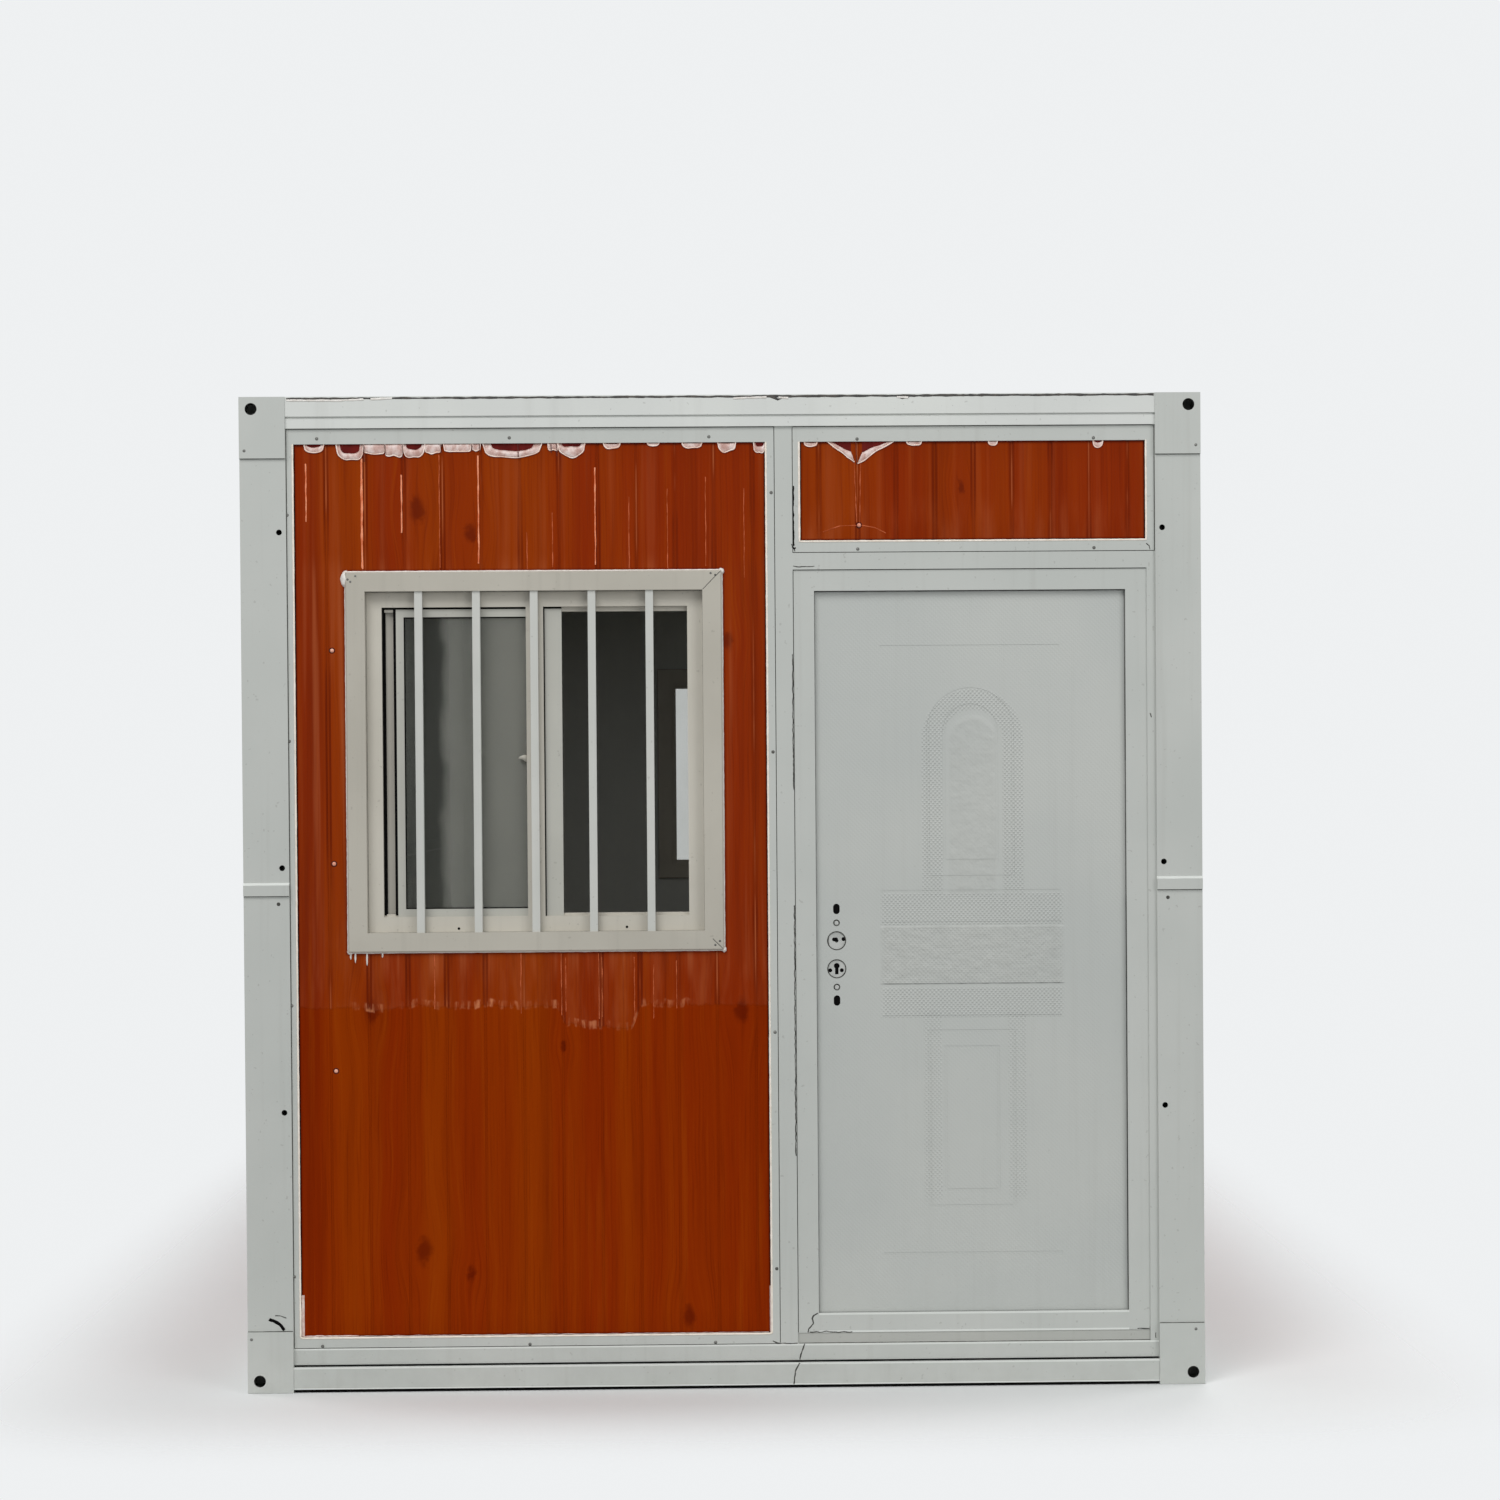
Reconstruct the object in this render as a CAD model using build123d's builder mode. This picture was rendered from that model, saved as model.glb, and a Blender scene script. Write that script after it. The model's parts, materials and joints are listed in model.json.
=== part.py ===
import os

from build123d import *

os.makedirs("parts", exist_ok=True)

# Overall size of the erected house
house_width = 2480
house_length = 5800
house_height = 2570

# Steel sections
section_wall = 4
frame_gap = 5

# Square corner blocks and posts
post_width = 118
post_recess = 6
beam_recess = 3
block_height = 158
block_wall = 6
block_hole_diameter = 31
block_hole_inset = 31
beam_foot_gap = 8

# Bolt holes in the posts' end faces, and pin holes just below the fold seam
post_hole_diameter = 15
post_hole_inset = 100
lower_hole_level = 725
upper_hole_rise = 38
upper_hole_drop = 190
pin_hole_diameter = 7
pin_hole_inset = 90
pin_hole_drop = 20

# Strip over the fold seam, which is half way up the side walls
seam_height = 34

# Base frame and floor
ledge_height = 65
riser_depth = 40
side_beam_width = 70
floor_thickness = 18
joist_height = 100
joist_width = 50
joist_flange = 6
joist_pitch = 600

# Roof frame, roof sheet and ceiling
roof_beam_height = 81
roof_beam_groove_height = 5
roof_beam_groove_depth = 6
roof_beam_upper_height = 51
roof_beam_step = 4
roof_sheet_thickness = 3
roof_sheet_drop = 32
roof_rib_height = 18
roof_rib_width = 110
roof_rib_pitch = 240
roof_rib_angle = 60
ceiling_thickness = 50

# Side walls
side_panel_thickness = 50
side_panel_recess = 8
side_rail_depth = 65
side_rail_height = 40

# Ribbed wall panels and the channels that hold their edges
panel_thickness = 50
rib_pitch = 100
rib_groove_width = 7
rib_groove_depth = 1.5
front_rib_shift = 22
channel_recess = 14
channel_flange = 6
channel_web = 3
channel_side_face = 19
channel_right_face = 24
channel_top_face = 40
channel_bottom_face = 29
transom_side_face = 20
transom_bottom_face = 31
transom_height = 327
joint_width = 2
joint_depth = 2.5

# Front wall rails
bottom_rail_height = 42
sill_rail_height = 28
sill_rail_recess = 6
mullion_width = 45
right_stile_width = 22
transom_rail_height = 43

# Door frame and leaf
door_frame_width = 917
door_frame_face = 55
threshold_face = 50
door_frame_recess = 4
door_lip_thickness = 13
door_rebate = 22
door_overlap = 15
leaf_gap = 3
leaf_thickness = 50

# Pressed pattern of the leaf, placed by shares of the leaf's height and width
press_depth = 0.8
press_line = 7
press_band = 42
press_level_shares = (0.087, 0.411, 0.455, 0.539, 0.582, 0.916)
press_width_share = 0.556
arch_width_share = 0.272
arch_foot_share = 0.600
arch_spring_share = 0.800
lower_panel_foot_share = 0.150
lower_panel_head_share = 0.393

# Lock holes that are left where the handle set is missing
lock_backset = 53
spindle_height = 1157
lock_disc_diameter = 47
lock_disc_thickness = 4
lock_disc_gap = 0.3
lock_recess_depth = 6
spindle_hole_diameter = 10
keyhole_spacing = 73
keyhole_head_diameter = 15
keyhole_slot_width = 9
keyhole_slot_length = 22
plate_hole_diameter = 12
plate_hole_spacing = 167
lug_slot_width = 17
lug_slot_length = 27
lug_slot_spacing = 238

# Butt hinges on the room side of the door
hinge_count = 3
hinge_height = 92
hinge_end_margin = 220
hinge_knuckle_diameter = 16
hinge_pin_diameter = 8
hinge_running_gap = 0.5
hinge_plate_thickness = 4
hinge_plate_width = 30

# Window rim, frame, sashes and guard bars
window_left_margin = 150
window_right_margin = 139
rim_height = 982
rim_face = 50
rim_proud = 12
rim_bevel = 3
window_setback = 20
window_frame_gap = 2
window_frame_face = 40
window_frame_hidden = 19
window_mullion_width = 45
window_mullion_depth = 8
sash_thickness = 14
sash_gap = 4
sash_rail = 20
sash_outer_stile = 50
sash_lap = 67
sash_top_gap = 5
outer_sash_offset = 36
inner_sash_offset = 7
glass_thickness = 5
bar_count = 5
bar_side_gap = 137.5
bar_width = 20
bar_setback = 5
track_width = 4
track_height = 7
track_gap = 1

# Rear window, to the right of the middle of its wall as seen from the front
rear_window_offset = 190

# Levels and planes worked out from the sizes above
half_width = house_width / 2
front_plane = house_length / 2
post_inner = half_width - post_width
post_back = front_plane - post_width
block_centre_x = half_width - post_width / 2
block_centre_y = front_plane - post_width / 2
top_block_bottom = house_height - block_height
beam_inner = half_width - side_beam_width
wall_foot = ledge_height + frame_gap
sill_strip_bottom = wall_foot + bottom_rail_height
floor_top = sill_strip_bottom + sill_rail_height
floor_bottom = floor_top - floor_thickness
roof_beam_bottom = house_height - roof_beam_height
post_front = front_plane - post_recess
post_centre_y = (post_front + post_back) / 2
post_depth = post_front - post_back
beam_front = front_plane - beam_recess
channel_front = front_plane - channel_recess
panel_front = channel_front - channel_flange
panel_back = panel_front - panel_thickness
channel_back = panel_back - channel_flange
riser_front = channel_back - frame_gap
riser_back = riser_front - riser_depth
seam_bottom = house_height / 2
seam_top = seam_bottom + seam_height

# Places along the front wall
right_stile_left = post_inner - right_stile_width
door_left = right_stile_left - door_frame_width
transom_bottom = roof_beam_bottom - transom_height
door_top = transom_bottom - transom_rail_height
door_frame_height = door_top - floor_top
mullion_left = door_left - mullion_width
front_panel_width = mullion_left + post_inner
front_panel_centre = (mullion_left - post_inner) / 2
panel_height = roof_beam_bottom - sill_strip_bottom
panel_centre_z = (roof_beam_bottom + sill_strip_bottom) / 2
transom_width = post_inner - door_left
transom_centre_x = (post_inner + door_left) / 2
transom_centre_z = (roof_beam_bottom + transom_bottom) / 2

# Places of the window, whose rim lines up with the top of the door frame
rim_width = front_panel_width - window_left_margin - window_right_margin
window_x = window_left_margin - post_inner + rim_width / 2
window_z = door_top - rim_height / 2
rim_inner_width = rim_width - 2 * rim_face
rim_inner_height = rim_height - 2 * rim_face
window_clear_width = rim_inner_width - 2 * window_frame_face
window_clear_height = rim_inner_height - 2 * window_frame_face
window_frame_side = window_frame_face + window_frame_hidden
window_frame_width = window_clear_width + 2 * window_frame_side
window_frame_height = window_clear_height + 2 * window_frame_side
cutout_width = window_frame_width + 2 * window_frame_gap
cutout_height = window_frame_height + 2 * window_frame_gap
window_front = panel_front - window_setback
window_left = window_x - window_clear_width / 2
window_bottom = window_z - window_clear_height / 2
window_top = window_z + window_clear_height / 2
sash_width = (window_clear_width + sash_lap) / 2
sash_height = window_clear_height - sash_top_gap
sash_centre_z = window_bottom + sash_height / 2
outer_sash_front = window_front - window_mullion_depth - sash_gap / 2
inner_sash_front = outer_sash_front - sash_thickness - sash_gap
window_frame_depth = window_front - inner_sash_front + sash_thickness + sash_gap
outer_track = outer_sash_front - sash_thickness / 2
inner_track = inner_sash_front - sash_thickness / 2
bar_pitch = (rim_inner_width - 2 * bar_side_gap) / (bar_count - 1)

# Places of the door leaf and its hinge line
leaf_left = door_left + door_frame_face - door_overlap
leaf_right = right_stile_left - door_frame_face + door_overlap
leaf_bottom = floor_top + threshold_face - door_overlap
leaf_top = door_top - door_frame_face + door_overlap
leaf_width = leaf_right - leaf_left
leaf_height = leaf_top - leaf_bottom
leaf_centre_x = (leaf_left + leaf_right) / 2
leaf_centre_z = (leaf_bottom + leaf_top) / 2
door_frame_front = channel_front - door_frame_recess
door_lip_back = door_frame_front - door_lip_thickness
leaf_front = door_lip_back - leaf_gap
leaf_back = leaf_front - leaf_thickness
jamb_inner_width = door_frame_face - door_rebate
hinge_x = leaf_right + (door_rebate - door_overlap) / 2
hinge_axis_y = leaf_back - hinge_knuckle_diameter / 2
hinge_pitch = (leaf_height - 2 * hinge_end_margin) / (hinge_count - 1)
lock_x = door_left + door_frame_face + lock_backset
keyhole_height = spindle_height - keyhole_spacing
lock_middle = (spindle_height + keyhole_height) / 2


# Base corner blocks: closed steel boxes with one lashing hole in each end face
with BuildPart() as base_corner_blocks:
    with BuildSketch():
        with GridLocations(2 * block_centre_x, 2 * block_centre_y, 2, 2):
            Rectangle(post_width, post_width)
    extrude(amount=block_height)
    with BuildSketch(Plane.XY.offset(block_wall)):
        with GridLocations(2 * block_centre_x, 2 * block_centre_y, 2, 2):
            Rectangle(post_width - 2 * block_wall, post_width - 2 * block_wall)
    extrude(amount=block_height - 2 * block_wall, mode=Mode.SUBTRACT)
    for end_plane in (Plane.XZ.offset(front_plane), Plane.XZ.offset(-front_plane + block_wall)):
        with BuildSketch(end_plane):
            with Locations((0, block_hole_inset)):
                with GridLocations(house_width - 2 * block_hole_inset, 0, 2, 1):
                    Circle(block_hole_diameter / 2)
        extrude(amount=-block_wall, mode=Mode.SUBTRACT)
base_corner_blocks.part.label = "base_corner_blocks"
export_step(base_corner_blocks.part, "parts/base_corner_blocks.step")

# Roof corner blocks: the base blocks turned over
with BuildPart() as roof_corner_blocks:
    mirror(base_corner_blocks.part, about=Plane.XY.offset(house_height / 2))
roof_corner_blocks.part.label = "roof_corner_blocks"
export_step(roof_corner_blocks.part, "parts/roof_corner_blocks.step")

# End beam of the base: a hollow section with a ledge in front of the end wall's foot
with BuildPart() as base_front_beam:
    with BuildSketch(Plane.YZ.offset(-post_inner)):
        with BuildLine():
            Polyline(
                (-beam_front, beam_foot_gap),
                (-beam_front, ledge_height),
                (-riser_front, ledge_height),
                (-riser_front, floor_bottom),
                (-riser_back, floor_bottom),
                (-riser_back, beam_foot_gap),
                close=True,
            )
        make_face()
        offset(amount=-section_wall, mode=Mode.SUBTRACT)
    extrude(amount=2 * post_inner)
base_front_beam.part.label = "base_front_beam"
export_step(base_front_beam.part, "parts/base_front_beam.step")

with BuildPart() as base_rear_beam:
    mirror(base_front_beam.part, about=Plane.XZ)
base_rear_beam.part.label = "base_rear_beam"
export_step(base_rear_beam.part, "parts/base_rear_beam.step")

# Side beams of the base, between the corner blocks and a little above their feet
side_beam_height = block_height - beam_foot_gap
with BuildPart() as base_side_beams:
    with BuildSketch(Plane.XZ.offset(post_back)):
        with Locations((0, (block_height + beam_foot_gap) / 2)):
            with GridLocations(house_width - side_beam_width, 0, 2, 1):
                Rectangle(side_beam_width, side_beam_height)
                Rectangle(
                    side_beam_width - 2 * section_wall,
                    side_beam_height - 2 * section_wall,
                    mode=Mode.SUBTRACT,
                )
    extrude(amount=-2 * post_back)
base_side_beams.part.label = "base_side_beams"
export_step(base_side_beams.part, "parts/base_side_beams.step")

# Channel joists across the base
joist_count = int((2 * riser_back - joist_width) / joist_pitch)
with BuildPart() as base_joists:
    with BuildSketch(Plane.YZ.offset(-beam_inner)):
        with Locations((0, floor_bottom - joist_height / 2)):
            with GridLocations(joist_pitch, 0, joist_count, 1):
                Rectangle(joist_width, joist_height)
        with Locations((joist_flange, floor_bottom - joist_height / 2)):
            with GridLocations(joist_pitch, 0, joist_count, 1):
                Rectangle(joist_width, joist_height - 2 * joist_flange, mode=Mode.SUBTRACT)
    extrude(amount=2 * beam_inner)
base_joists.part.label = "base_joists"
export_step(base_joists.part, "parts/base_joists.step")

# Floor board, notched round the corner blocks
with BuildPart() as floor_board:
    with BuildSketch(Plane.XY.offset(floor_bottom)):
        Rectangle(2 * beam_inner, 2 * post_back)
        Rectangle(2 * post_inner, 2 * riser_front)
    extrude(amount=floor_thickness)
floor_board.part.label = "floor_board"
export_step(floor_board.part, "parts/floor_board.step")

# Roof end beam: a hollow section with a groove and a stepped lower face
groove_bottom = house_height - roof_beam_upper_height - roof_beam_groove_height
roof_beam_depth = beam_front - post_back
stepped_depth = roof_beam_depth - roof_beam_step
grooved_depth = roof_beam_depth - roof_beam_groove_depth
hollow_depth = grooved_depth - 2 * section_wall
with BuildPart() as roof_front_beam:
    with BuildSketch(Plane.YZ.offset(-post_inner)):
        with Locations((-post_back, house_height)):
            Rectangle(roof_beam_depth, roof_beam_upper_height, align=(Align.MAX, Align.MAX))
        with Locations((-post_back, groove_bottom)):
            Rectangle(grooved_depth, roof_beam_groove_height, align=(Align.MAX, Align.MIN))
        with Locations((-post_back, roof_beam_bottom)):
            Rectangle(stepped_depth, groove_bottom - roof_beam_bottom, align=(Align.MAX, Align.MIN))
        with Locations((-post_back - section_wall, roof_beam_bottom + section_wall)):
            Rectangle(
                hollow_depth,
                roof_beam_height - 2 * section_wall,
                align=(Align.MAX, Align.MIN),
                mode=Mode.SUBTRACT,
            )
    extrude(amount=2 * post_inner)
roof_front_beam.part.label = "roof_front_beam"
export_step(roof_front_beam.part, "parts/roof_front_beam.step")

with BuildPart() as roof_rear_beam:
    mirror(roof_front_beam.part, about=Plane.XZ)
roof_rear_beam.part.label = "roof_rear_beam"
export_step(roof_rear_beam.part, "parts/roof_rear_beam.step")

# Side beams of the roof: the base ones turned over
with BuildPart() as roof_side_beams:
    mirror(base_side_beams.part, about=Plane.XY.offset(house_height / 2))
roof_side_beams.part.label = "roof_side_beams"
export_step(roof_side_beams.part, "parts/roof_side_beams.step")

# Roof sheet: thin metal pressed into ribs that run across the house
roof_sheet_bottom = house_height - roof_sheet_drop
roof_rib_count = int((2 * post_back - roof_rib_width) / roof_rib_pitch)
rib_inner_width = roof_rib_width - 2 * roof_sheet_thickness
with BuildPart() as roof_sheet:
    with BuildSketch(Plane.YZ.offset(-beam_inner)):
        with Locations((0, roof_sheet_bottom + roof_sheet_thickness / 2)):
            Rectangle(2 * post_back, roof_sheet_thickness)
        with Locations((0, roof_sheet_bottom + roof_rib_height / 2)):
            with GridLocations(roof_rib_pitch, 0, roof_rib_count, 1):
                Trapezoid(roof_rib_width, roof_rib_height, roof_rib_angle)
        with Locations((0, roof_sheet_bottom + (roof_rib_height - roof_sheet_thickness) / 2)):
            with GridLocations(roof_rib_pitch, 0, roof_rib_count, 1):
                Trapezoid(
                    rib_inner_width,
                    roof_rib_height - roof_sheet_thickness,
                    roof_rib_angle,
                    mode=Mode.SUBTRACT,
                )
    extrude(amount=2 * beam_inner)
roof_sheet.part.label = "roof_sheet"
export_step(roof_sheet.part, "parts/roof_sheet.step")

# Ceiling board, notched round the corner blocks like the floor
with BuildPart() as ceiling_panel:
    with BuildSketch(Plane.XY.offset(top_block_bottom)):
        Rectangle(2 * beam_inner, 2 * post_back)
        Rectangle(2 * post_inner, 2 * riser_front)
    extrude(amount=ceiling_thickness)
ceiling_panel.part.label = "ceiling_panel"
export_step(ceiling_panel.part, "parts/ceiling_panel.step")

# Hollow square posts below and above the fold seam, with holes in their end faces
post_end_planes = (Plane.XZ.offset(post_front), Plane.XZ.offset(-post_front + section_wall))
post_hole_spacing = house_width - 2 * post_hole_inset
with BuildPart() as lower_posts:
    with BuildSketch(Plane.XY.offset(block_height)):
        with GridLocations(2 * block_centre_x, 2 * post_centre_y, 2, 2):
            Rectangle(post_width, post_depth)
            Rectangle(post_width - 2 * section_wall, post_depth - 2 * section_wall, mode=Mode.SUBTRACT)
    extrude(amount=seam_bottom - block_height)
    for end_plane in post_end_planes:
        with BuildSketch(end_plane):
            with Locations((0, lower_hole_level)):
                with GridLocations(post_hole_spacing, 0, 2, 1):
                    Circle(post_hole_diameter / 2)
            with Locations((0, seam_bottom - pin_hole_drop)):
                with GridLocations(house_width - 2 * pin_hole_inset, 0, 2, 1):
                    Circle(pin_hole_diameter / 2)
        extrude(amount=-section_wall, mode=Mode.SUBTRACT)
lower_posts.part.label = "lower_posts"
export_step(lower_posts.part, "parts/lower_posts.step")

with BuildPart() as upper_posts:
    with BuildSketch(Plane.XY.offset(seam_top)):
        with GridLocations(2 * block_centre_x, 2 * post_centre_y, 2, 2):
            Rectangle(post_width, post_depth)
            Rectangle(post_width - 2 * section_wall, post_depth - 2 * section_wall, mode=Mode.SUBTRACT)
    extrude(amount=top_block_bottom - seam_top)
    for end_plane in post_end_planes:
        with BuildSketch(end_plane):
            with Locations((0, seam_top + upper_hole_rise), (0, top_block_bottom - upper_hole_drop)):
                with GridLocations(post_hole_spacing, 0, 2, 1):
                    Circle(post_hole_diameter / 2)
        extrude(amount=-section_wall, mode=Mode.SUBTRACT)
upper_posts.part.label = "upper_posts"
export_step(upper_posts.part, "parts/upper_posts.step")

# Seam strips that close the fold line, with a bevel up to the upper posts' faces
with BuildPart() as fold_strips:
    with BuildSketch(Plane.XY.offset(seam_bottom)):
        with GridLocations(2 * block_centre_x, 2 * block_centre_y, 2, 2):
            Rectangle(post_width, post_width)
        with GridLocations(house_width - side_rail_depth, 0, 2, 1):
            Rectangle(side_rail_depth, house_length)
    extrude(amount=seam_height)
    strip_ends = fold_strips.faces().filter_by(Axis.Y).group_by(Axis.Y)
    top_edges = [face.edges().sort_by(Axis.Z)[-1] for face in strip_ends[0] + strip_ends[-1]]
    chamfer(top_edges, length=post_recess)
fold_strips.part.label = "fold_strips"
export_step(fold_strips.part, "parts/fold_strips.step")

# Rails along the top and bottom of each half of the side walls
side_rail_levels = (
    block_height + side_rail_height / 2,
    seam_bottom - side_rail_height / 2,
    seam_top + side_rail_height / 2,
    top_block_bottom - side_rail_height / 2,
)
with BuildPart() as side_wall_rails:
    with BuildSketch(Plane.XZ.offset(post_back)):
        for level in side_rail_levels:
            with Locations((0, level)):
                with GridLocations(house_width - side_rail_depth, 0, 2, 1):
                    Rectangle(side_rail_depth, side_rail_height)
                    Rectangle(
                        side_rail_depth - 2 * section_wall,
                        side_rail_height - 2 * section_wall,
                        mode=Mode.SUBTRACT,
                    )
    extrude(amount=-2 * post_back)
side_wall_rails.part.label = "side_wall_rails"
export_step(side_wall_rails.part, "parts/side_wall_rails.step")

# Ribbed side panels between the rails, one above the other on each side
side_panel_outer = half_width - side_panel_recess
side_panel_middle = side_panel_outer - side_panel_thickness / 2
side_rib_count = int((2 * post_back - rib_pitch) / rib_pitch) + 1
lower_panel_bottom = block_height + side_rail_height
upper_panel_bottom = seam_top + side_rail_height
lower_panel_height = seam_bottom - side_rail_height - lower_panel_bottom
upper_panel_height = top_block_bottom - side_rail_height - upper_panel_bottom

with BuildPart() as right_lower_panel:
    with BuildSketch(Plane.XY.offset(lower_panel_bottom)):
        with Locations((side_panel_middle, 0)):
            Rectangle(side_panel_thickness, 2 * post_back)
        with Locations((side_panel_outer, 0)):
            with GridLocations(0, rib_pitch, 1, side_rib_count):
                Rectangle(2 * rib_groove_depth, rib_groove_width, mode=Mode.SUBTRACT)
    extrude(amount=lower_panel_height)
right_lower_panel.part.label = "right_lower_panel"
export_step(right_lower_panel.part, "parts/right_lower_panel.step")

with BuildPart() as right_upper_panel:
    with BuildSketch(Plane.XY.offset(upper_panel_bottom)):
        with Locations((side_panel_middle, 0)):
            Rectangle(side_panel_thickness, 2 * post_back)
        with Locations((side_panel_outer, 0)):
            with GridLocations(0, rib_pitch, 1, side_rib_count):
                Rectangle(2 * rib_groove_depth, rib_groove_width, mode=Mode.SUBTRACT)
    extrude(amount=upper_panel_height)
right_upper_panel.part.label = "right_upper_panel"
export_step(right_upper_panel.part, "parts/right_upper_panel.step")

with BuildPart() as left_lower_panel:
    mirror(right_lower_panel.part, about=Plane.YZ)
left_lower_panel.part.label = "left_lower_panel"
export_step(left_lower_panel.part, "parts/left_lower_panel.step")

with BuildPart() as left_upper_panel:
    mirror(right_upper_panel.part, about=Plane.YZ)
left_upper_panel.part.label = "left_upper_panel"
export_step(left_upper_panel.part, "parts/left_upper_panel.step")

# Front wall rails: the foot rail with the sill strip under the door, and the rail over the door
with BuildPart() as front_wall_rails:
    with BuildSketch(Plane.XZ.offset(channel_front)):
        with Locations((0, wall_foot + bottom_rail_height / 2)):
            Rectangle(2 * post_inner, bottom_rail_height)
        with Locations((transom_centre_x, door_top + transom_rail_height / 2)):
            Rectangle(transom_width, transom_rail_height)
    extrude(amount=channel_back - channel_front)
    with BuildSketch(Plane.XZ.offset(channel_front - sill_rail_recess)):
        with Locations((door_left + door_frame_width / 2, sill_strip_bottom + sill_rail_height / 2)):
            Rectangle(door_frame_width, sill_rail_height)
    extrude(amount=channel_back - channel_front + sill_rail_recess)
front_wall_rails.part.label = "front_wall_rails"
export_step(front_wall_rails.part, "parts/front_wall_rails.step")

# Front wall uprights: the mullion beside the panel and the stile beside the door
with BuildPart() as front_wall_stiles:
    with BuildSketch(Plane.XZ.offset(channel_front)):
        with Locations((mullion_left + mullion_width / 2, panel_centre_z)):
            Rectangle(mullion_width, panel_height)
        with Locations((post_inner - right_stile_width / 2, (sill_strip_bottom + door_top) / 2)):
            Rectangle(right_stile_width, door_top - sill_strip_bottom)
    extrude(amount=channel_back - channel_front)
front_wall_stiles.part.label = "front_wall_stiles"
export_step(front_wall_stiles.part, "parts/front_wall_stiles.step")

# Front panel: a ribbed sandwich panel with the window cut through it
front_board_width = front_panel_width - 2 * channel_web
board_height = panel_height - 2 * channel_web
front_rib_count = int(front_panel_width / rib_pitch)
with BuildPart() as front_panel:
    with BuildSketch(Plane.XZ.offset(panel_front)):
        with Locations((front_panel_centre, panel_centre_z)):
            Rectangle(front_board_width, board_height)
        with Locations((window_x, window_z)):
            Rectangle(cutout_width, cutout_height, mode=Mode.SUBTRACT)
    extrude(amount=-panel_thickness)
    with BuildSketch(Plane.XZ.offset(panel_front)):
        with Locations((front_panel_centre + front_rib_shift, panel_centre_z)):
            with GridLocations(rib_pitch, 0, front_rib_count, 1):
                Rectangle(rib_groove_width, panel_height)
        with Locations((window_x, window_z)):
            Rectangle(rim_width, rim_height, mode=Mode.SUBTRACT)
    extrude(amount=-rib_groove_depth, mode=Mode.SUBTRACT)
front_panel.part.label = "front_panel"
export_step(front_panel.part, "parts/front_panel.step")

# Channel that runs round the front panel and grips its edges, with a shadow joint round its face
front_open_x = front_panel_centre + (channel_side_face - channel_right_face) / 2
with BuildPart() as front_panel_channel:
    with BuildSketch(Plane.XZ.offset(channel_front)):
        with Locations((front_panel_centre, panel_centre_z)):
            Rectangle(front_panel_width, panel_height)
    extrude(amount=channel_back - channel_front)
    with BuildSketch(Plane.XZ.offset(panel_front)):
        with Locations((front_panel_centre, panel_centre_z)):
            Rectangle(front_board_width, board_height)
    extrude(amount=-panel_thickness, mode=Mode.SUBTRACT)
    with BuildSketch(Plane.XZ.offset(channel_front)):
        with Locations((front_open_x, panel_centre_z + (channel_bottom_face - channel_top_face) / 2)):
            Rectangle(
                front_panel_width - channel_side_face - channel_right_face,
                panel_height - channel_bottom_face - channel_top_face,
            )
    extrude(amount=channel_back - channel_front, mode=Mode.SUBTRACT)
    with BuildSketch(Plane.XZ.offset(channel_front)):
        with Locations((front_panel_centre, panel_centre_z)):
            Rectangle(front_panel_width, panel_height)
            Rectangle(front_panel_width - 2 * joint_width, panel_height - 2 * joint_width, mode=Mode.SUBTRACT)
    extrude(amount=-joint_depth, mode=Mode.SUBTRACT)
front_panel_channel.part.label = "front_panel_channel"
export_step(front_panel_channel.part, "parts/front_panel_channel.step")

# Panel over the door and its channel, which has the same shadow joint
transom_rib_count = int(transom_width / rib_pitch)
with BuildPart() as transom_panel:
    with BuildSketch(Plane.XZ.offset(panel_front)):
        with Locations((transom_centre_x, transom_centre_z)):
            Rectangle(transom_width - 2 * channel_web, transom_height - 2 * channel_web)
    extrude(amount=-panel_thickness)
    with BuildSketch(Plane.XZ.offset(panel_front)):
        with Locations((transom_centre_x, transom_centre_z)):
            with GridLocations(rib_pitch, 0, transom_rib_count, 1):
                Rectangle(rib_groove_width, transom_height)
    extrude(amount=-rib_groove_depth, mode=Mode.SUBTRACT)
transom_panel.part.label = "transom_panel"
export_step(transom_panel.part, "parts/transom_panel.step")

transom_open_x = transom_centre_x + (transom_side_face - channel_right_face) / 2
transom_open_z = transom_centre_z + (transom_bottom_face - channel_top_face) / 2
with BuildPart() as transom_channel:
    with BuildSketch(Plane.XZ.offset(channel_front)):
        with Locations((transom_centre_x, transom_centre_z)):
            Rectangle(transom_width, transom_height)
    extrude(amount=channel_back - channel_front)
    with BuildSketch(Plane.XZ.offset(panel_front)):
        with Locations((transom_centre_x, transom_centre_z)):
            Rectangle(transom_width - 2 * channel_web, transom_height - 2 * channel_web)
    extrude(amount=-panel_thickness, mode=Mode.SUBTRACT)
    with BuildSketch(Plane.XZ.offset(channel_front)):
        with Locations((transom_open_x, transom_open_z)):
            Rectangle(
                transom_width - transom_side_face - channel_right_face,
                transom_height - transom_bottom_face - channel_top_face,
            )
    extrude(amount=channel_back - channel_front, mode=Mode.SUBTRACT)
    with BuildSketch(Plane.XZ.offset(channel_front)):
        with Locations((transom_centre_x, transom_centre_z)):
            Rectangle(transom_width, transom_height)
            Rectangle(transom_width - 2 * joint_width, transom_height - 2 * joint_width, mode=Mode.SUBTRACT)
    extrude(amount=-joint_depth, mode=Mode.SUBTRACT)
transom_channel.part.label = "transom_channel"
export_step(transom_channel.part, "parts/transom_channel.step")

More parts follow.
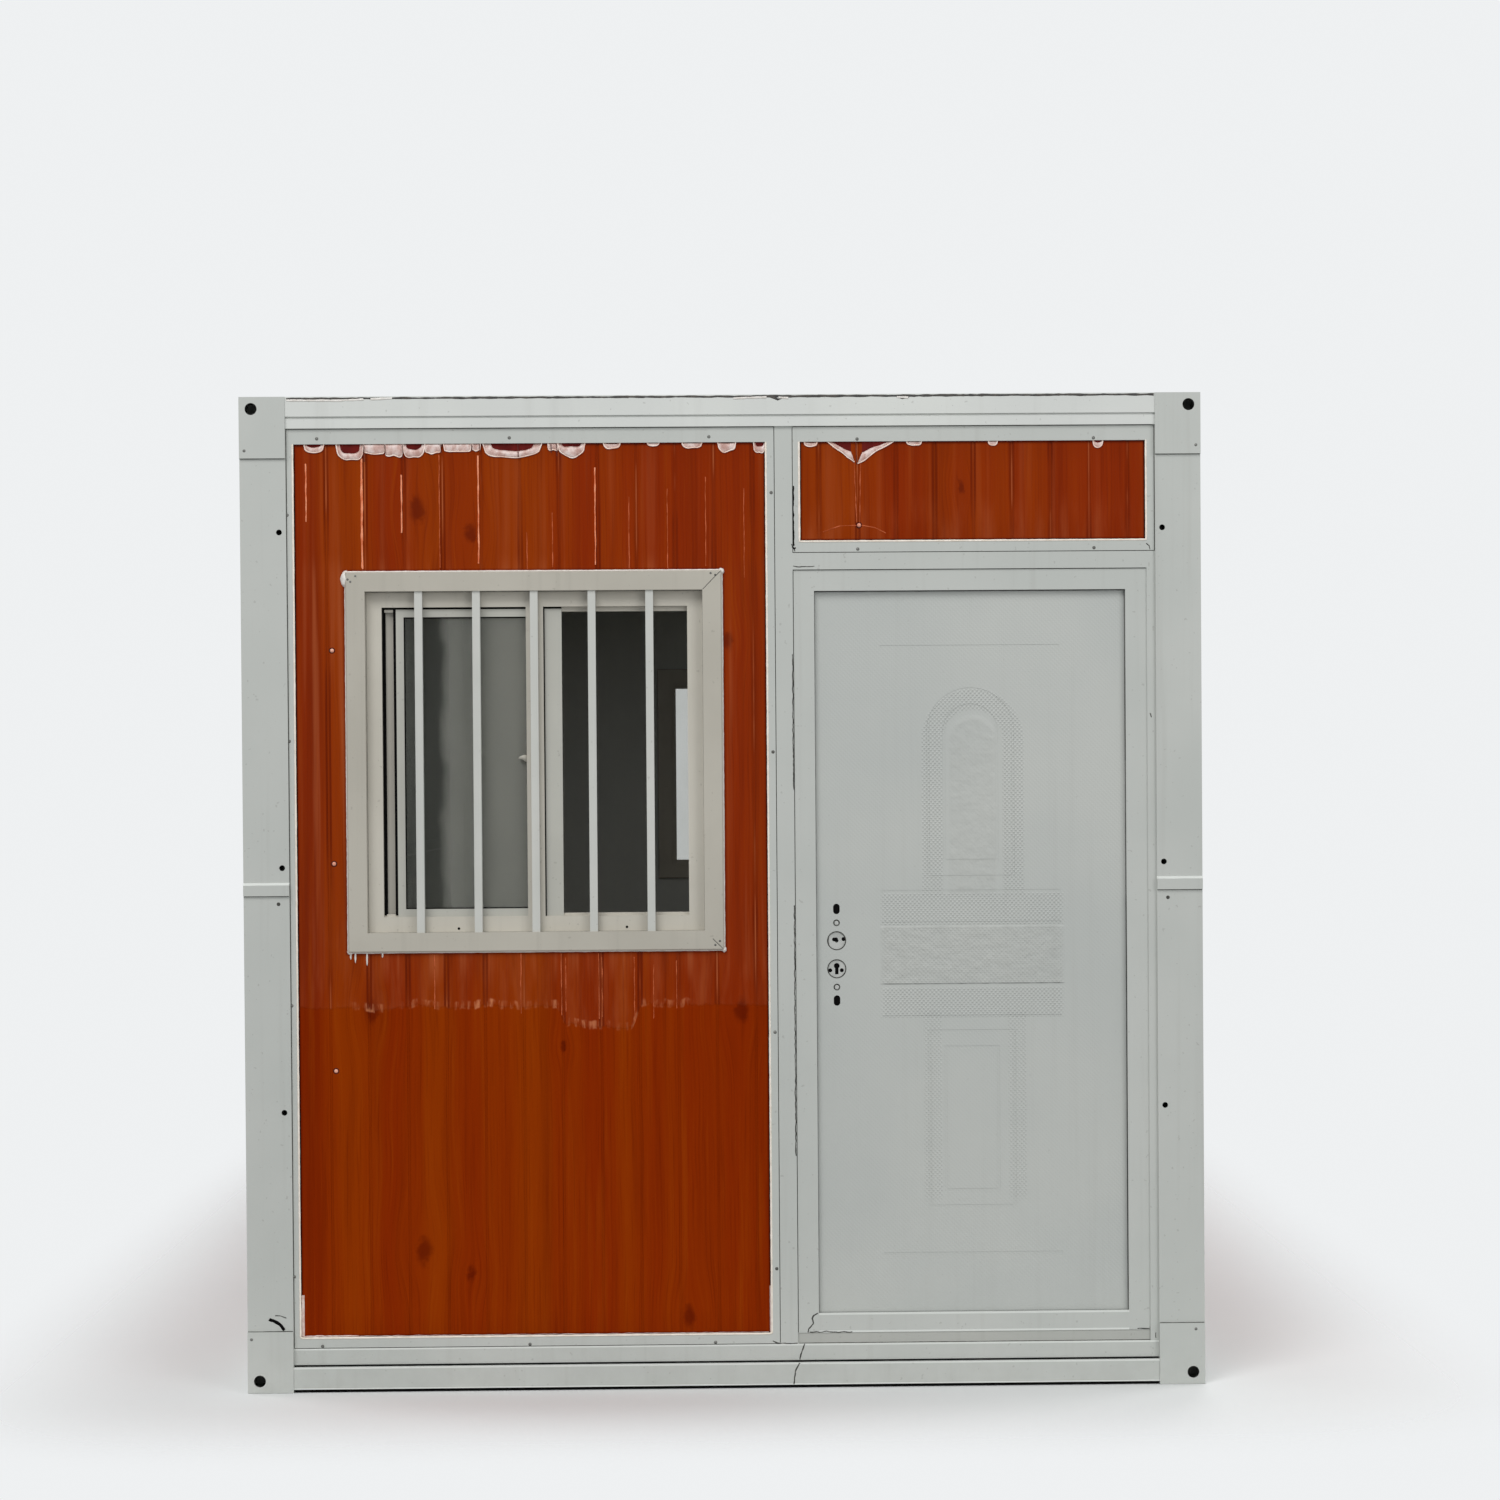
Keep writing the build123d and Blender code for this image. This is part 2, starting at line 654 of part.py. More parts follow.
# Door jambs, each with a lip in front of the leaf, a rebate behind it and a shadow joint outside
with BuildPart() as door_jambs:
    with BuildSketch(Plane.XY.offset(floor_top)):
        with Locations((door_left, -door_frame_front)):
            Rectangle(door_frame_face, door_lip_thickness, align=(Align.MIN, Align.MIN))
            Rectangle(jamb_inner_width, door_frame_front - leaf_back, align=(Align.MIN, Align.MIN))
        with Locations((right_stile_left, -door_frame_front)):
            Rectangle(door_frame_face, door_lip_thickness, align=(Align.MAX, Align.MIN))
            Rectangle(jamb_inner_width, door_frame_front - leaf_back, align=(Align.MAX, Align.MIN))
    extrude(amount=door_frame_height)
    with BuildSketch(Plane.XZ.offset(door_frame_front)):
        with Locations((door_left + door_frame_width / 2, floor_top)):
            Rectangle(door_frame_width, door_frame_height, align=(Align.CENTER, Align.MIN))
            Rectangle(
                door_frame_width - 2 * joint_width,
                door_frame_height - joint_width,
                align=(Align.CENTER, Align.MIN),
                mode=Mode.SUBTRACT,
            )
    extrude(amount=-joint_depth, mode=Mode.SUBTRACT)
door_jambs.part.label = "door_jambs"
export_step(door_jambs.part, "parts/door_jambs.step")

# Door head and threshold between the jambs, with the same lip, rebate and shadow joint
door_frame_depth = door_frame_front - leaf_back
door_clear_width = door_frame_width - 2 * door_frame_face
with BuildPart() as door_frame_rails:
    with BuildSketch(Plane.YZ.offset(door_left + door_frame_face)):
        with Locations((-door_frame_front, door_top)):
            Rectangle(door_lip_thickness, door_frame_face, align=(Align.MIN, Align.MAX))
            Rectangle(door_frame_depth, jamb_inner_width, align=(Align.MIN, Align.MAX))
        with Locations((-door_frame_front, floor_top)):
            Rectangle(door_lip_thickness, threshold_face, align=(Align.MIN, Align.MIN))
            Rectangle(door_frame_depth, threshold_face - door_rebate, align=(Align.MIN, Align.MIN))
    extrude(amount=door_clear_width)
    with BuildSketch(Plane.YZ.offset(door_left + jamb_inner_width)):
        with Locations((-door_lip_back, door_top)):
            Rectangle(door_lip_back - leaf_back, jamb_inner_width, align=(Align.MIN, Align.MAX))
        with Locations((-door_lip_back, floor_top)):
            Rectangle(door_lip_back - leaf_back, threshold_face - door_rebate, align=(Align.MIN, Align.MIN))
    extrude(amount=door_frame_width - 2 * jamb_inner_width)
    with BuildSketch(Plane.XZ.offset(door_frame_front)):
        with Locations((door_left + door_frame_width / 2, door_top)):
            Rectangle(door_clear_width, joint_width, align=(Align.CENTER, Align.MAX))
    extrude(amount=-joint_depth, mode=Mode.SUBTRACT)
door_frame_rails.part.label = "door_frame_rails"
export_step(door_frame_rails.part, "parts/door_frame_rails.step")

# Door leaf with the lock recesses, plate holes, lug slots and pressed pattern in it
arch_spring = leaf_bottom + arch_spring_share * leaf_height
arch_foot = leaf_bottom + arch_foot_share * leaf_height
lower_panel_foot = leaf_bottom + lower_panel_foot_share * leaf_height
lower_panel_head = leaf_bottom + lower_panel_head_share * leaf_height
with BuildPart() as door_leaf:
    with BuildSketch(Plane.XZ.offset(leaf_front)):
        with Locations((leaf_centre_x, leaf_centre_z)):
            Rectangle(leaf_width, leaf_height)
    extrude(amount=-leaf_thickness)
    with BuildSketch(Plane.XZ.offset(leaf_front)):
        with Locations((lock_x, spindle_height), (lock_x, keyhole_height)):
            Circle(lock_disc_diameter / 2)
    extrude(amount=-lock_recess_depth, mode=Mode.SUBTRACT)
    with BuildSketch(Plane.XZ.offset(leaf_front)):
        with Locations((lock_x, lock_middle)):
            with GridLocations(0, plate_hole_spacing, 1, 2):
                Circle(plate_hole_diameter / 2)
            with GridLocations(0, lug_slot_spacing, 1, 2):
                SlotOverall(lug_slot_length, lug_slot_width, rotation=90)
        with Locations((lock_x, spindle_height)):
            Circle(spindle_hole_diameter / 2)
        with Locations((lock_x, keyhole_height + keyhole_head_diameter / 2)):
            Circle(keyhole_head_diameter / 2)
            Rectangle(keyhole_slot_width, keyhole_slot_length, align=(Align.CENTER, Align.MAX))
    extrude(amount=-leaf_thickness, mode=Mode.SUBTRACT)
    with BuildSketch(Plane.XZ.offset(leaf_front)):
        for share in press_level_shares:
            with Locations((leaf_centre_x, leaf_bottom + share * leaf_height)):
                Rectangle(press_width_share * leaf_width, press_line)
    extrude(amount=-press_depth, mode=Mode.SUBTRACT)
    for inset in (0, press_band):
        outer_width = arch_width_share * leaf_width - 2 * inset
        inner_width = outer_width - 2 * press_line
        with BuildSketch(Plane.XZ.offset(leaf_front)):
            with Locations((leaf_centre_x, arch_spring)):
                Circle(outer_width / 2)
                Rectangle(outer_width, arch_spring - arch_foot - inset, align=(Align.CENTER, Align.MAX))
                Circle(inner_width / 2, mode=Mode.SUBTRACT)
                Rectangle(
                    inner_width,
                    arch_spring - arch_foot - inset - press_line,
                    align=(Align.CENTER, Align.MAX),
                    mode=Mode.SUBTRACT,
                )
            with Locations((leaf_centre_x, (lower_panel_foot + lower_panel_head) / 2)):
                Rectangle(outer_width, lower_panel_head - lower_panel_foot - 2 * inset)
                Rectangle(
                    inner_width,
                    lower_panel_head - lower_panel_foot - 2 * inset - 2 * press_line,
                    mode=Mode.SUBTRACT,
                )
        extrude(amount=-press_depth, mode=Mode.SUBTRACT)
door_leaf.part.label = "door_leaf"
export_step(door_leaf.part, "parts/door_leaf.step")

# Lock case faces in the leaf's recesses: one with the spindle hole, one with the keyhole
with BuildPart() as door_lock:
    with BuildSketch(Plane.XZ.offset(leaf_front - lock_recess_depth)):
        with Locations((lock_x, spindle_height), (lock_x, keyhole_height)):
            Circle(lock_disc_diameter / 2 - lock_disc_gap)
        with Locations((lock_x, spindle_height)):
            Circle(spindle_hole_diameter / 2, mode=Mode.SUBTRACT)
        with Locations((lock_x, keyhole_height + keyhole_head_diameter / 2)):
            Circle(keyhole_head_diameter / 2, mode=Mode.SUBTRACT)
            Rectangle(
                keyhole_slot_width, keyhole_slot_length, align=(Align.CENTER, Align.MAX), mode=Mode.SUBTRACT
            )
    extrude(amount=lock_disc_thickness)
door_lock.part.label = "door_lock"
export_step(door_lock.part, "parts/door_lock.step")

# Frame halves of the hinges: plate, end knuckles and pin
knuckle_height = hinge_height / 3
hinge_levels = [leaf_bottom + hinge_end_margin + index * hinge_pitch for index in range(hinge_count)]
with BuildPart() as frame_hinges:
    for level in hinge_levels:
        with BuildSketch(Plane.XY.offset(level - hinge_height / 2)):
            with Locations((hinge_x, -hinge_axis_y)):
                Circle(hinge_knuckle_diameter / 2)
            with Locations((hinge_x, -leaf_back)):
                Rectangle(hinge_plate_width, hinge_plate_thickness, align=(Align.MIN, Align.MIN))
        extrude(amount=hinge_height)
        with BuildSketch(Plane.XY.offset(level - knuckle_height / 2 - hinge_running_gap)):
            with Locations((hinge_x, -hinge_axis_y)):
                Circle(hinge_knuckle_diameter / 2 + hinge_running_gap)
                Circle(hinge_pin_diameter / 2, mode=Mode.SUBTRACT)
        extrude(amount=knuckle_height + 2 * hinge_running_gap, mode=Mode.SUBTRACT)
frame_hinges.part.label = "frame_hinges"
export_step(frame_hinges.part, "parts/frame_hinges.step")

# Leaf halves of the hinges: plate and middle knuckle round the pin
with BuildPart() as leaf_hinges:
    for level in hinge_levels:
        with BuildSketch(Plane.XY.offset(level - knuckle_height / 2)):
            with Locations((hinge_x, -hinge_axis_y)):
                Circle(hinge_knuckle_diameter / 2)
            with Locations((leaf_right, -leaf_back)):
                Rectangle(hinge_plate_width, hinge_plate_thickness, align=(Align.MAX, Align.MIN))
            with Locations((hinge_x, -leaf_back)):
                Rectangle(hinge_x - leaf_right, hinge_plate_thickness, align=(Align.MAX, Align.MIN))
            with Locations((hinge_x, -hinge_axis_y)):
                Circle(hinge_pin_diameter / 2 + hinge_running_gap, mode=Mode.SUBTRACT)
        extrude(amount=knuckle_height)
leaf_hinges.part.label = "leaf_hinges"
export_step(leaf_hinges.part, "parts/leaf_hinges.step")

# Window rim: a face flange over the panel and a collar through to the window frame
with BuildPart() as window_rim:
    with BuildSketch(Plane.XZ.offset(panel_front)):
        with Locations((window_x, window_z)):
            Rectangle(rim_width, rim_height)
    extrude(amount=rim_proud)
    rim_edges = window_rim.faces().sort_by(Axis.Y)[0].edges()
    chamfer(rim_edges, length=rim_bevel)
    with BuildSketch(Plane.XZ.offset(window_front)):
        with Locations((window_x, window_z)):
            Rectangle(window_frame_width, window_frame_height)
    extrude(amount=window_setback)
    with BuildSketch(Plane.XZ.offset(window_front)):
        with Locations((window_x, window_z)):
            Rectangle(rim_inner_width, rim_inner_height)
    extrude(amount=window_setback + rim_proud, mode=Mode.SUBTRACT)
window_rim.part.label = "window_rim"
export_step(window_rim.part, "parts/window_rim.step")

# Window frame with a flush upright in front of two tracks, each with a rib above and below
with BuildPart() as window_frame:
    with BuildSketch(Plane.XZ.offset(window_front)):
        with Locations((window_x, window_z)):
            Rectangle(window_frame_width, window_frame_height)
            Rectangle(window_clear_width, window_clear_height, mode=Mode.SUBTRACT)
    extrude(amount=-window_frame_depth)
    with BuildSketch(Plane.XZ.offset(window_front)):
        with Locations((window_x, window_z)):
            Rectangle(window_mullion_width, window_clear_height)
    extrude(amount=-window_mullion_depth)
    with BuildSketch(Plane.YZ.offset(window_left)):
        with Locations((-outer_track, window_bottom), (-inner_track, window_bottom)):
            Rectangle(track_width, track_height, align=(Align.CENTER, Align.MIN))
        with Locations((-outer_track, window_top), (-inner_track, window_top)):
            Rectangle(track_width, track_height + sash_top_gap, align=(Align.CENTER, Align.MAX))
    extrude(amount=window_clear_width)
window_frame.part.label = "window_frame"
export_step(window_frame.part, "parts/window_frame.step")

# Outer sash, slid open over the inner one
outer_sash_left = window_left + outer_sash_offset
sash_pane_width = sash_width - sash_rail - sash_outer_stile
sash_pane_height = sash_height - 2 * sash_rail
outer_pane_x = outer_sash_left + sash_rail + sash_pane_width / 2
with BuildPart() as outer_sash:
    with BuildSketch(Plane.XZ.offset(outer_sash_front)):
        with Locations((outer_sash_left + sash_width / 2, sash_centre_z)):
            Rectangle(sash_width, sash_height)
        with Locations((outer_pane_x, sash_centre_z)):
            Rectangle(sash_pane_width, sash_pane_height, mode=Mode.SUBTRACT)
    extrude(amount=-sash_thickness)
    with BuildSketch(Plane.YZ.offset(outer_sash_left)):
        with Locations((-outer_track, sash_centre_z)):
            with GridLocations(0, sash_height, 1, 2):
                Rectangle(track_width + 2 * track_gap, 2 * (track_height + track_gap))
    extrude(amount=sash_width, mode=Mode.SUBTRACT)
outer_sash.part.label = "outer_sash"
export_step(outer_sash.part, "parts/outer_sash.step")

# Inner sash, closed against the left jamb of the window
inner_sash_left = window_left + inner_sash_offset
inner_pane_x = inner_sash_left + sash_outer_stile + sash_pane_width / 2
with BuildPart() as inner_sash:
    with BuildSketch(Plane.XZ.offset(inner_sash_front)):
        with Locations((inner_sash_left + sash_width / 2, sash_centre_z)):
            Rectangle(sash_width, sash_height)
        with Locations((inner_pane_x, sash_centre_z)):
            Rectangle(sash_pane_width, sash_pane_height, mode=Mode.SUBTRACT)
    extrude(amount=-sash_thickness)
    with BuildSketch(Plane.YZ.offset(inner_sash_left)):
        with Locations((-inner_track, sash_centre_z)):
            with GridLocations(0, sash_height, 1, 2):
                Rectangle(track_width + 2 * track_gap, 2 * (track_height + track_gap))
    extrude(amount=sash_width, mode=Mode.SUBTRACT)
inner_sash.part.label = "inner_sash"
export_step(inner_sash.part, "parts/inner_sash.step")

# Glass of both front sashes
glass_setback = (sash_thickness - glass_thickness) / 2
with BuildPart() as window_glass:
    with BuildSketch(Plane.XZ.offset(outer_sash_front - glass_setback)):
        with Locations((outer_pane_x, sash_centre_z)):
            Rectangle(sash_pane_width, sash_pane_height)
    extrude(amount=-glass_thickness)
    with BuildSketch(Plane.XZ.offset(inner_sash_front - glass_setback)):
        with Locations((inner_pane_x, sash_centre_z)):
            Rectangle(sash_pane_width, sash_pane_height)
    extrude(amount=-glass_thickness)
window_glass.part.label = "window_glass"
export_step(window_glass.part, "parts/window_glass.step")

# Upright guard bars between the rim's top and bottom
bar_middle = panel_front + rim_proud - bar_setback - bar_width / 2
with BuildPart() as window_bars:
    with BuildSketch(Plane.XY.offset(window_z - rim_inner_height / 2)):
        with Locations((window_x, -bar_middle)):
            with GridLocations(bar_pitch, 0, bar_count, 1):
                Rectangle(bar_width, bar_width)
    extrude(amount=rim_inner_height)
window_bars.part.label = "window_bars"
export_step(window_bars.part, "parts/window_bars.step")

# Rear wall: one panel across the whole width, with its foot rail, channel and window
rear_window_x = rear_window_offset
rear_window_shift = rear_window_x - window_x
rear_rib_count = int(2 * post_inner / rib_pitch)
rear_board_width = 2 * post_inner - 2 * channel_web
with BuildPart() as rear_panel:
    with BuildSketch(Plane.XZ.offset(-panel_front)):
        with Locations((0, panel_centre_z)):
            Rectangle(rear_board_width, board_height)
        with Locations((rear_window_x, window_z)):
            Rectangle(cutout_width, cutout_height, mode=Mode.SUBTRACT)
    extrude(amount=panel_thickness)
    with BuildSketch(Plane.XZ.offset(-panel_front)):
        with Locations((0, panel_centre_z)):
            with GridLocations(rib_pitch, 0, rear_rib_count, 1):
                Rectangle(rib_groove_width, panel_height)
        with Locations((rear_window_x, window_z)):
            Rectangle(rim_width, rim_height, mode=Mode.SUBTRACT)
    extrude(amount=rib_groove_depth, mode=Mode.SUBTRACT)
rear_panel.part.label = "rear_panel"
export_step(rear_panel.part, "parts/rear_panel.step")

with BuildPart() as rear_panel_channel:
    with BuildSketch(Plane.XZ.offset(-channel_front)):
        with Locations((0, panel_centre_z)):
            Rectangle(2 * post_inner, panel_height)
    extrude(amount=channel_front - channel_back)
    with BuildSketch(Plane.XZ.offset(-panel_front)):
        with Locations((0, panel_centre_z)):
            Rectangle(rear_board_width, board_height)
    extrude(amount=panel_thickness, mode=Mode.SUBTRACT)
    with BuildSketch(Plane.XZ.offset(-channel_front)):
        with Locations((0, panel_centre_z + (channel_bottom_face - channel_top_face) / 2)):
            Rectangle(
                2 * post_inner - 2 * channel_side_face,
                panel_height - channel_bottom_face - channel_top_face,
            )
    extrude(amount=channel_front - channel_back, mode=Mode.SUBTRACT)
    with BuildSketch(Plane.XZ.offset(-channel_front)):
        with Locations((0, panel_centre_z)):
            Rectangle(2 * post_inner, panel_height)
            Rectangle(2 * post_inner - 2 * joint_width, panel_height - 2 * joint_width, mode=Mode.SUBTRACT)
    extrude(amount=joint_depth, mode=Mode.SUBTRACT)
rear_panel_channel.part.label = "rear_panel_channel"
export_step(rear_panel_channel.part, "parts/rear_panel_channel.step")

with BuildPart() as rear_bottom_rail:
    with BuildSketch(Plane.XZ.offset(-channel_front)):
        with Locations((0, wall_foot + bottom_rail_height / 2)):
            Rectangle(2 * post_inner, bottom_rail_height)
    extrude(amount=channel_front - channel_back)
rear_bottom_rail.part.label = "rear_bottom_rail"
export_step(rear_bottom_rail.part, "parts/rear_bottom_rail.step")

# Rear window: the front rim, frame and bars mirrored to the rear wall
rear_shift = Location((rear_window_shift, 0, 0))
with BuildPart() as rear_window_rim:
    mirror(window_rim.part.moved(rear_shift), about=Plane.XZ)
rear_window_rim.part.label = "rear_window_rim"
export_step(rear_window_rim.part, "parts/rear_window_rim.step")

with BuildPart() as rear_window_frame:
    mirror(window_frame.part.moved(rear_shift), about=Plane.XZ)
rear_window_frame.part.label = "rear_window_frame"
export_step(rear_window_frame.part, "parts/rear_window_frame.step")

with BuildPart() as rear_window_bars:
    mirror(window_bars.part.moved(rear_shift), about=Plane.XZ)
rear_window_bars.part.label = "rear_window_bars"
export_step(rear_window_bars.part, "parts/rear_window_bars.step")

# Rear sashes, both closed: the outer one on the left and the inner one on the right
rear_outer_slide = rear_window_shift - outer_sash_offset
rear_inner_slide = rear_window_shift + window_clear_width - sash_width - inner_sash_offset
with BuildPart() as rear_window_sashes:
    mirror(outer_sash.part.moved(Location((rear_outer_slide, 0, 0))), about=Plane.XZ)
    mirror(inner_sash.part.moved(Location((rear_inner_slide, 0, 0))), about=Plane.XZ)
rear_window_sashes.part.label = "rear_window_sashes"
export_step(rear_window_sashes.part, "parts/rear_window_sashes.step")

with BuildPart() as rear_window_glass:
    with BuildSketch(Plane.XZ.offset(-outer_sash_front + glass_setback)):
        with Locations((outer_pane_x + rear_outer_slide, sash_centre_z)):
            Rectangle(sash_pane_width, sash_pane_height)
    extrude(amount=glass_thickness)
    with BuildSketch(Plane.XZ.offset(-inner_sash_front + glass_setback)):
        with Locations((inner_pane_x + rear_inner_slide, sash_centre_z)):
            Rectangle(sash_pane_width, sash_pane_height)
    extrude(amount=glass_thickness)
rear_window_glass.part.label = "rear_window_glass"
export_step(rear_window_glass.part, "parts/rear_window_glass.step")
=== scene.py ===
import json
import math
import random

import bmesh
import bpy
from mathutils import Matrix, Vector, noise


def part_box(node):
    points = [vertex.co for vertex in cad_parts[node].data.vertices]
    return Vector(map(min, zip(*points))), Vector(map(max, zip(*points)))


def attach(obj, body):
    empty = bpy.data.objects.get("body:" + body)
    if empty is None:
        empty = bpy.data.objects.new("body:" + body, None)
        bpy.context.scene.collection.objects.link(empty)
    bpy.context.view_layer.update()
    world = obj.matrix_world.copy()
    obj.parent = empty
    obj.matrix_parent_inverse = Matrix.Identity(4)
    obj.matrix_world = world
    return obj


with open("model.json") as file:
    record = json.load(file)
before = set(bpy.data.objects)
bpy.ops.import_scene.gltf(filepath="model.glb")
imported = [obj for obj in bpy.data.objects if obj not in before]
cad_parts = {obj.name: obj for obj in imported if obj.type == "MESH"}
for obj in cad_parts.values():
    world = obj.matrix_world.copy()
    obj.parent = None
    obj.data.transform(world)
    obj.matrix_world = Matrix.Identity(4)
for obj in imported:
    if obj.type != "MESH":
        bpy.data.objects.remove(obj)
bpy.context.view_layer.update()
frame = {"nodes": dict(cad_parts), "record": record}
cadNodes = frame["nodes"]
scene = bpy.context.scene
print("frame loaded:", len(cadNodes), "nodes")


def srgb(red, green, blue):  # a colour as a picker shows it, 0 to 255
    def linear(part):
        part /= 255
        return part / 12.92 if part <= 0.04045 else ((part + 0.055) / 1.055) ** 2.4
    return (linear(red), linear(green), linear(blue), 1.0)


class Wire:  # an output socket: arithmetic on it adds Math nodes
    def __init__(self, tree, socket):
        self.tree, self.socket = tree, socket

    def calc(self, operation, *terms):
        return self.tree.node("ShaderNodeMath", {"operation": operation}, dict(enumerate(terms)))

    def __add__(self, other):
        return self.calc("ADD", self, other)

    def __sub__(self, other):
        return self.calc("SUBTRACT", self, other)

    def __rsub__(self, other):
        return self.calc("SUBTRACT", other, self)

    def __mul__(self, other):
        return self.calc("MULTIPLY", self, other)

    def __truediv__(self, other):
        return self.calc("DIVIDE", self, other)

    def __mod__(self, other):
        return self.calc("FLOORED_MODULO", self, other)

    def __rpow__(self, other):
        return self.calc("POWER", other, self)

    def __lt__(self, other):
        return self.calc("LESS_THAN", self, other)

    def __gt__(self, other):
        return self.calc("GREATER_THAN", self, other)

    def __abs__(self):
        return self.calc("ABSOLUTE", self)

    __radd__, __rmul__ = __add__, __mul__


class Tree:  # a node tree being built
    def __init__(self, tree):
        self.tree = tree

    def node(self, kind, settings=None, put=None, out=0):
        made = self.tree.nodes.new(kind)
        for key, value in (settings or {}).items():
            if key == "stops":
                ramp = made.color_ramp
                while len(ramp.elements) < len(value):
                    ramp.elements.new(0.5)
                for element, (place, colour) in zip(ramp.elements, value):
                    element.position, element.color = place, colour
            elif key == "captures":
                for name in value:
                    made.capture_items.new("VECTOR", name)
            else:
                setattr(made, key, value)
        for key, value in (put or {}).items():
            for one in value if isinstance(value, list) else [value]:
                if isinstance(one, Wire):
                    self.tree.links.new(one.socket, made.inputs[key])
                else:
                    made.inputs[key].default_value = one
        return Wire(self, made.outputs[out])

    def outputs(self, wire):
        return [Wire(self, socket) for socket in wire.socket.node.outputs]

    def vector(self, x, y, z):
        return self.node("ShaderNodeCombineXYZ", put={0: x, 1: y, 2: z})

    def vectors(self, operation, first, second):
        return self.node("ShaderNodeVectorMath", {"operation": operation}, {0: first, 1: second})

    def noise(self, where, scale=1, detail=3, rough=0.55):
        return self.node("ShaderNodeTexNoise", put={"Vector": where, "Scale": scale, "Detail": detail,
                                                    "Roughness": rough})

    def drawn(self, x, y, z, detail=3, rough=0.55):  # noise drawn out along an axis
        return self.noise(self.vector(x, y, z), 1, detail, rough)


class Finish(Tree):  # a material being built, on Object coordinates
    def __init__(self, name):
        self.material = bpy.data.materials.new(name)
        self.material.use_nodes = True
        super().__init__(self.material.node_tree)
        self.tree.nodes.clear()
        self.place = self.node("ShaderNodeTexCoord", out="Object")
        self.x, self.y, self.z = self.outputs(self.node("ShaderNodeSeparateXYZ", put={0: self.place}))

    def step(self, value, low, high):  # smooth 0 to 1
        return self.node("ShaderNodeMapRange", {"interpolation_type": "SMOOTHSTEP"},
                         {"Value": value, "From Min": low, "From Max": high})

    def within(self, value, low, high, soft):  # 1 between low and high
        return self.step(value, low - soft, low) * self.step(value, high + soft, high)

    def blend(self, share, under, over, how="MIX"):
        return self.node("ShaderNodeMix", {"data_type": "RGBA", "blend_type": how}, {0: share, 6: under, 7: over}, 2)

    def ramp(self, value, stops):
        return self.node("ShaderNodeValToRGB", {"stops": stops}, {0: value})

    def bump(self, height, distance, strength=1.0):
        return self.node("ShaderNodeBump", put={"Height": height, "Distance": distance, "Strength": strength})

    def shader(self, put):
        return self.node("ShaderNodeBsdfPrincipled", put=put)

    def close(self, shader):
        end = self.tree.nodes.new("ShaderNodeOutputMaterial")
        self.tree.links.new(shader.socket, end.inputs[0])
        return self.material

    def surface(self, put):
        return self.close(self.shader(put))


def paintedSteel(name, look):  # sprayed sheet steel: soft clouds, rain runs, splash, specks, and optional painted shade and highlight bands
    f = Finish(name)
    clouds = f.step(f.noise(f.place, look["cloudScale"]), 0.3, 0.7)
    colour = f.blend(clouds, look["coat"], look["shade"])
    runs = f.step(f.drawn(f.x * 34, f.y * 34, f.z * 0.9, 4), 0.52, 0.78) * look["runs"]
    colour = f.blend(runs, colour, look["grime"])
    splash = f.step(f.z, look["splashTop"], 0.0) * f.step(f.noise(f.place, 14, 5, 0.65), 0.35, 0.7) * look["splash"]
    colour = f.blend(splash, colour, look["grime"])
    specks = f.step(f.noise(f.place, 90, 1), 0.735, 0.76) * look["specks"]
    colour = f.blend(specks, colour, look["chip"])
    height = f.noise(f.place, 420, 2) * 0.25 + f.noise(f.place, 9, 2)
    if "emboss" in look:
        relief = look["emboss"](f)
        height = height + relief
        # the relief also darkens the colour: painted shade
        colour = f.blend(relief * look["reliefShadeTone"], colour, look["grime"])
    if "shadeBandZ" in look:  # a strip that is set back, darkened with painted shade
        colour = f.blend(f.within(f.z, *look["shadeBandZ"], 0.002) * look["shadeBandTone"], colour, look["grime"])
    for low, high in look.get("highlightZ", ()):  # edges lit pale: painted highlight
        colour = f.blend(f.within(f.z, low, high, 0.0012) * look["highlightTone"], colour, look["highlight"])
    return f.surface({"Base Color": colour, "Roughness": look["rough"] + clouds * 0.08 + splash * 0.25 + specks * 0.2,
                      "Metallic": 0.0, "Normal": f.bump(height, look["peel"])})


framePaintLook = {
    "coat": srgb(194, 196, 191), "shade": srgb(187, 190, 185), "grime": srgb(134, 130, 120), "chip": srgb(96, 88, 78),
    "cloudScale": 2.2, "runs": 0.12, "splashTop": 0.2, "splash": 0.1, "specks": 0.2, "rough": 0.42, "peel": 0.0006}
framePaint = paintedSteel("framePaint", framePaintLook)

# pale lines along edges of the rails, sill, ledge and fold strips: painted highlight
highlightLook = {**framePaintLook, "highlight": srgb(234, 237, 232), "highlightTone": 0.62}
railPaint = paintedSteel("railPaint", {**highlightLook, "shadeBandZ": (0.113, 0.141), "shadeBandTone": 0.3,
                                       "highlightZ": [(0.1085, 0.1122)]})
sillPaint = paintedSteel("sillPaint", {**highlightLook, "highlightZ": [(0.1865, 0.191), (0.1408, 0.1445)]})
ledgePaint = paintedSteel("ledgePaint", {**highlightLook, "highlightZ": [(0.0615, 0.067), (0.007, 0.0105)]})
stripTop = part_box("fold_strips")[1].z
stripPaint = paintedSteel("stripPaint", {**highlightLook, "highlightZ": [(stripTop - 0.006, stripTop)]})
litBeamLook = {**framePaintLook, "coat": srgb(217, 219, 214), "shade": srgb(209, 211, 207), "runs": 0.08, "splash": 0}
beamPaint = paintedSteel("beamPaint", litBeamLook)  # the roof's end beams: fewer runs and no splash, and a coat painted lighter for the light from above
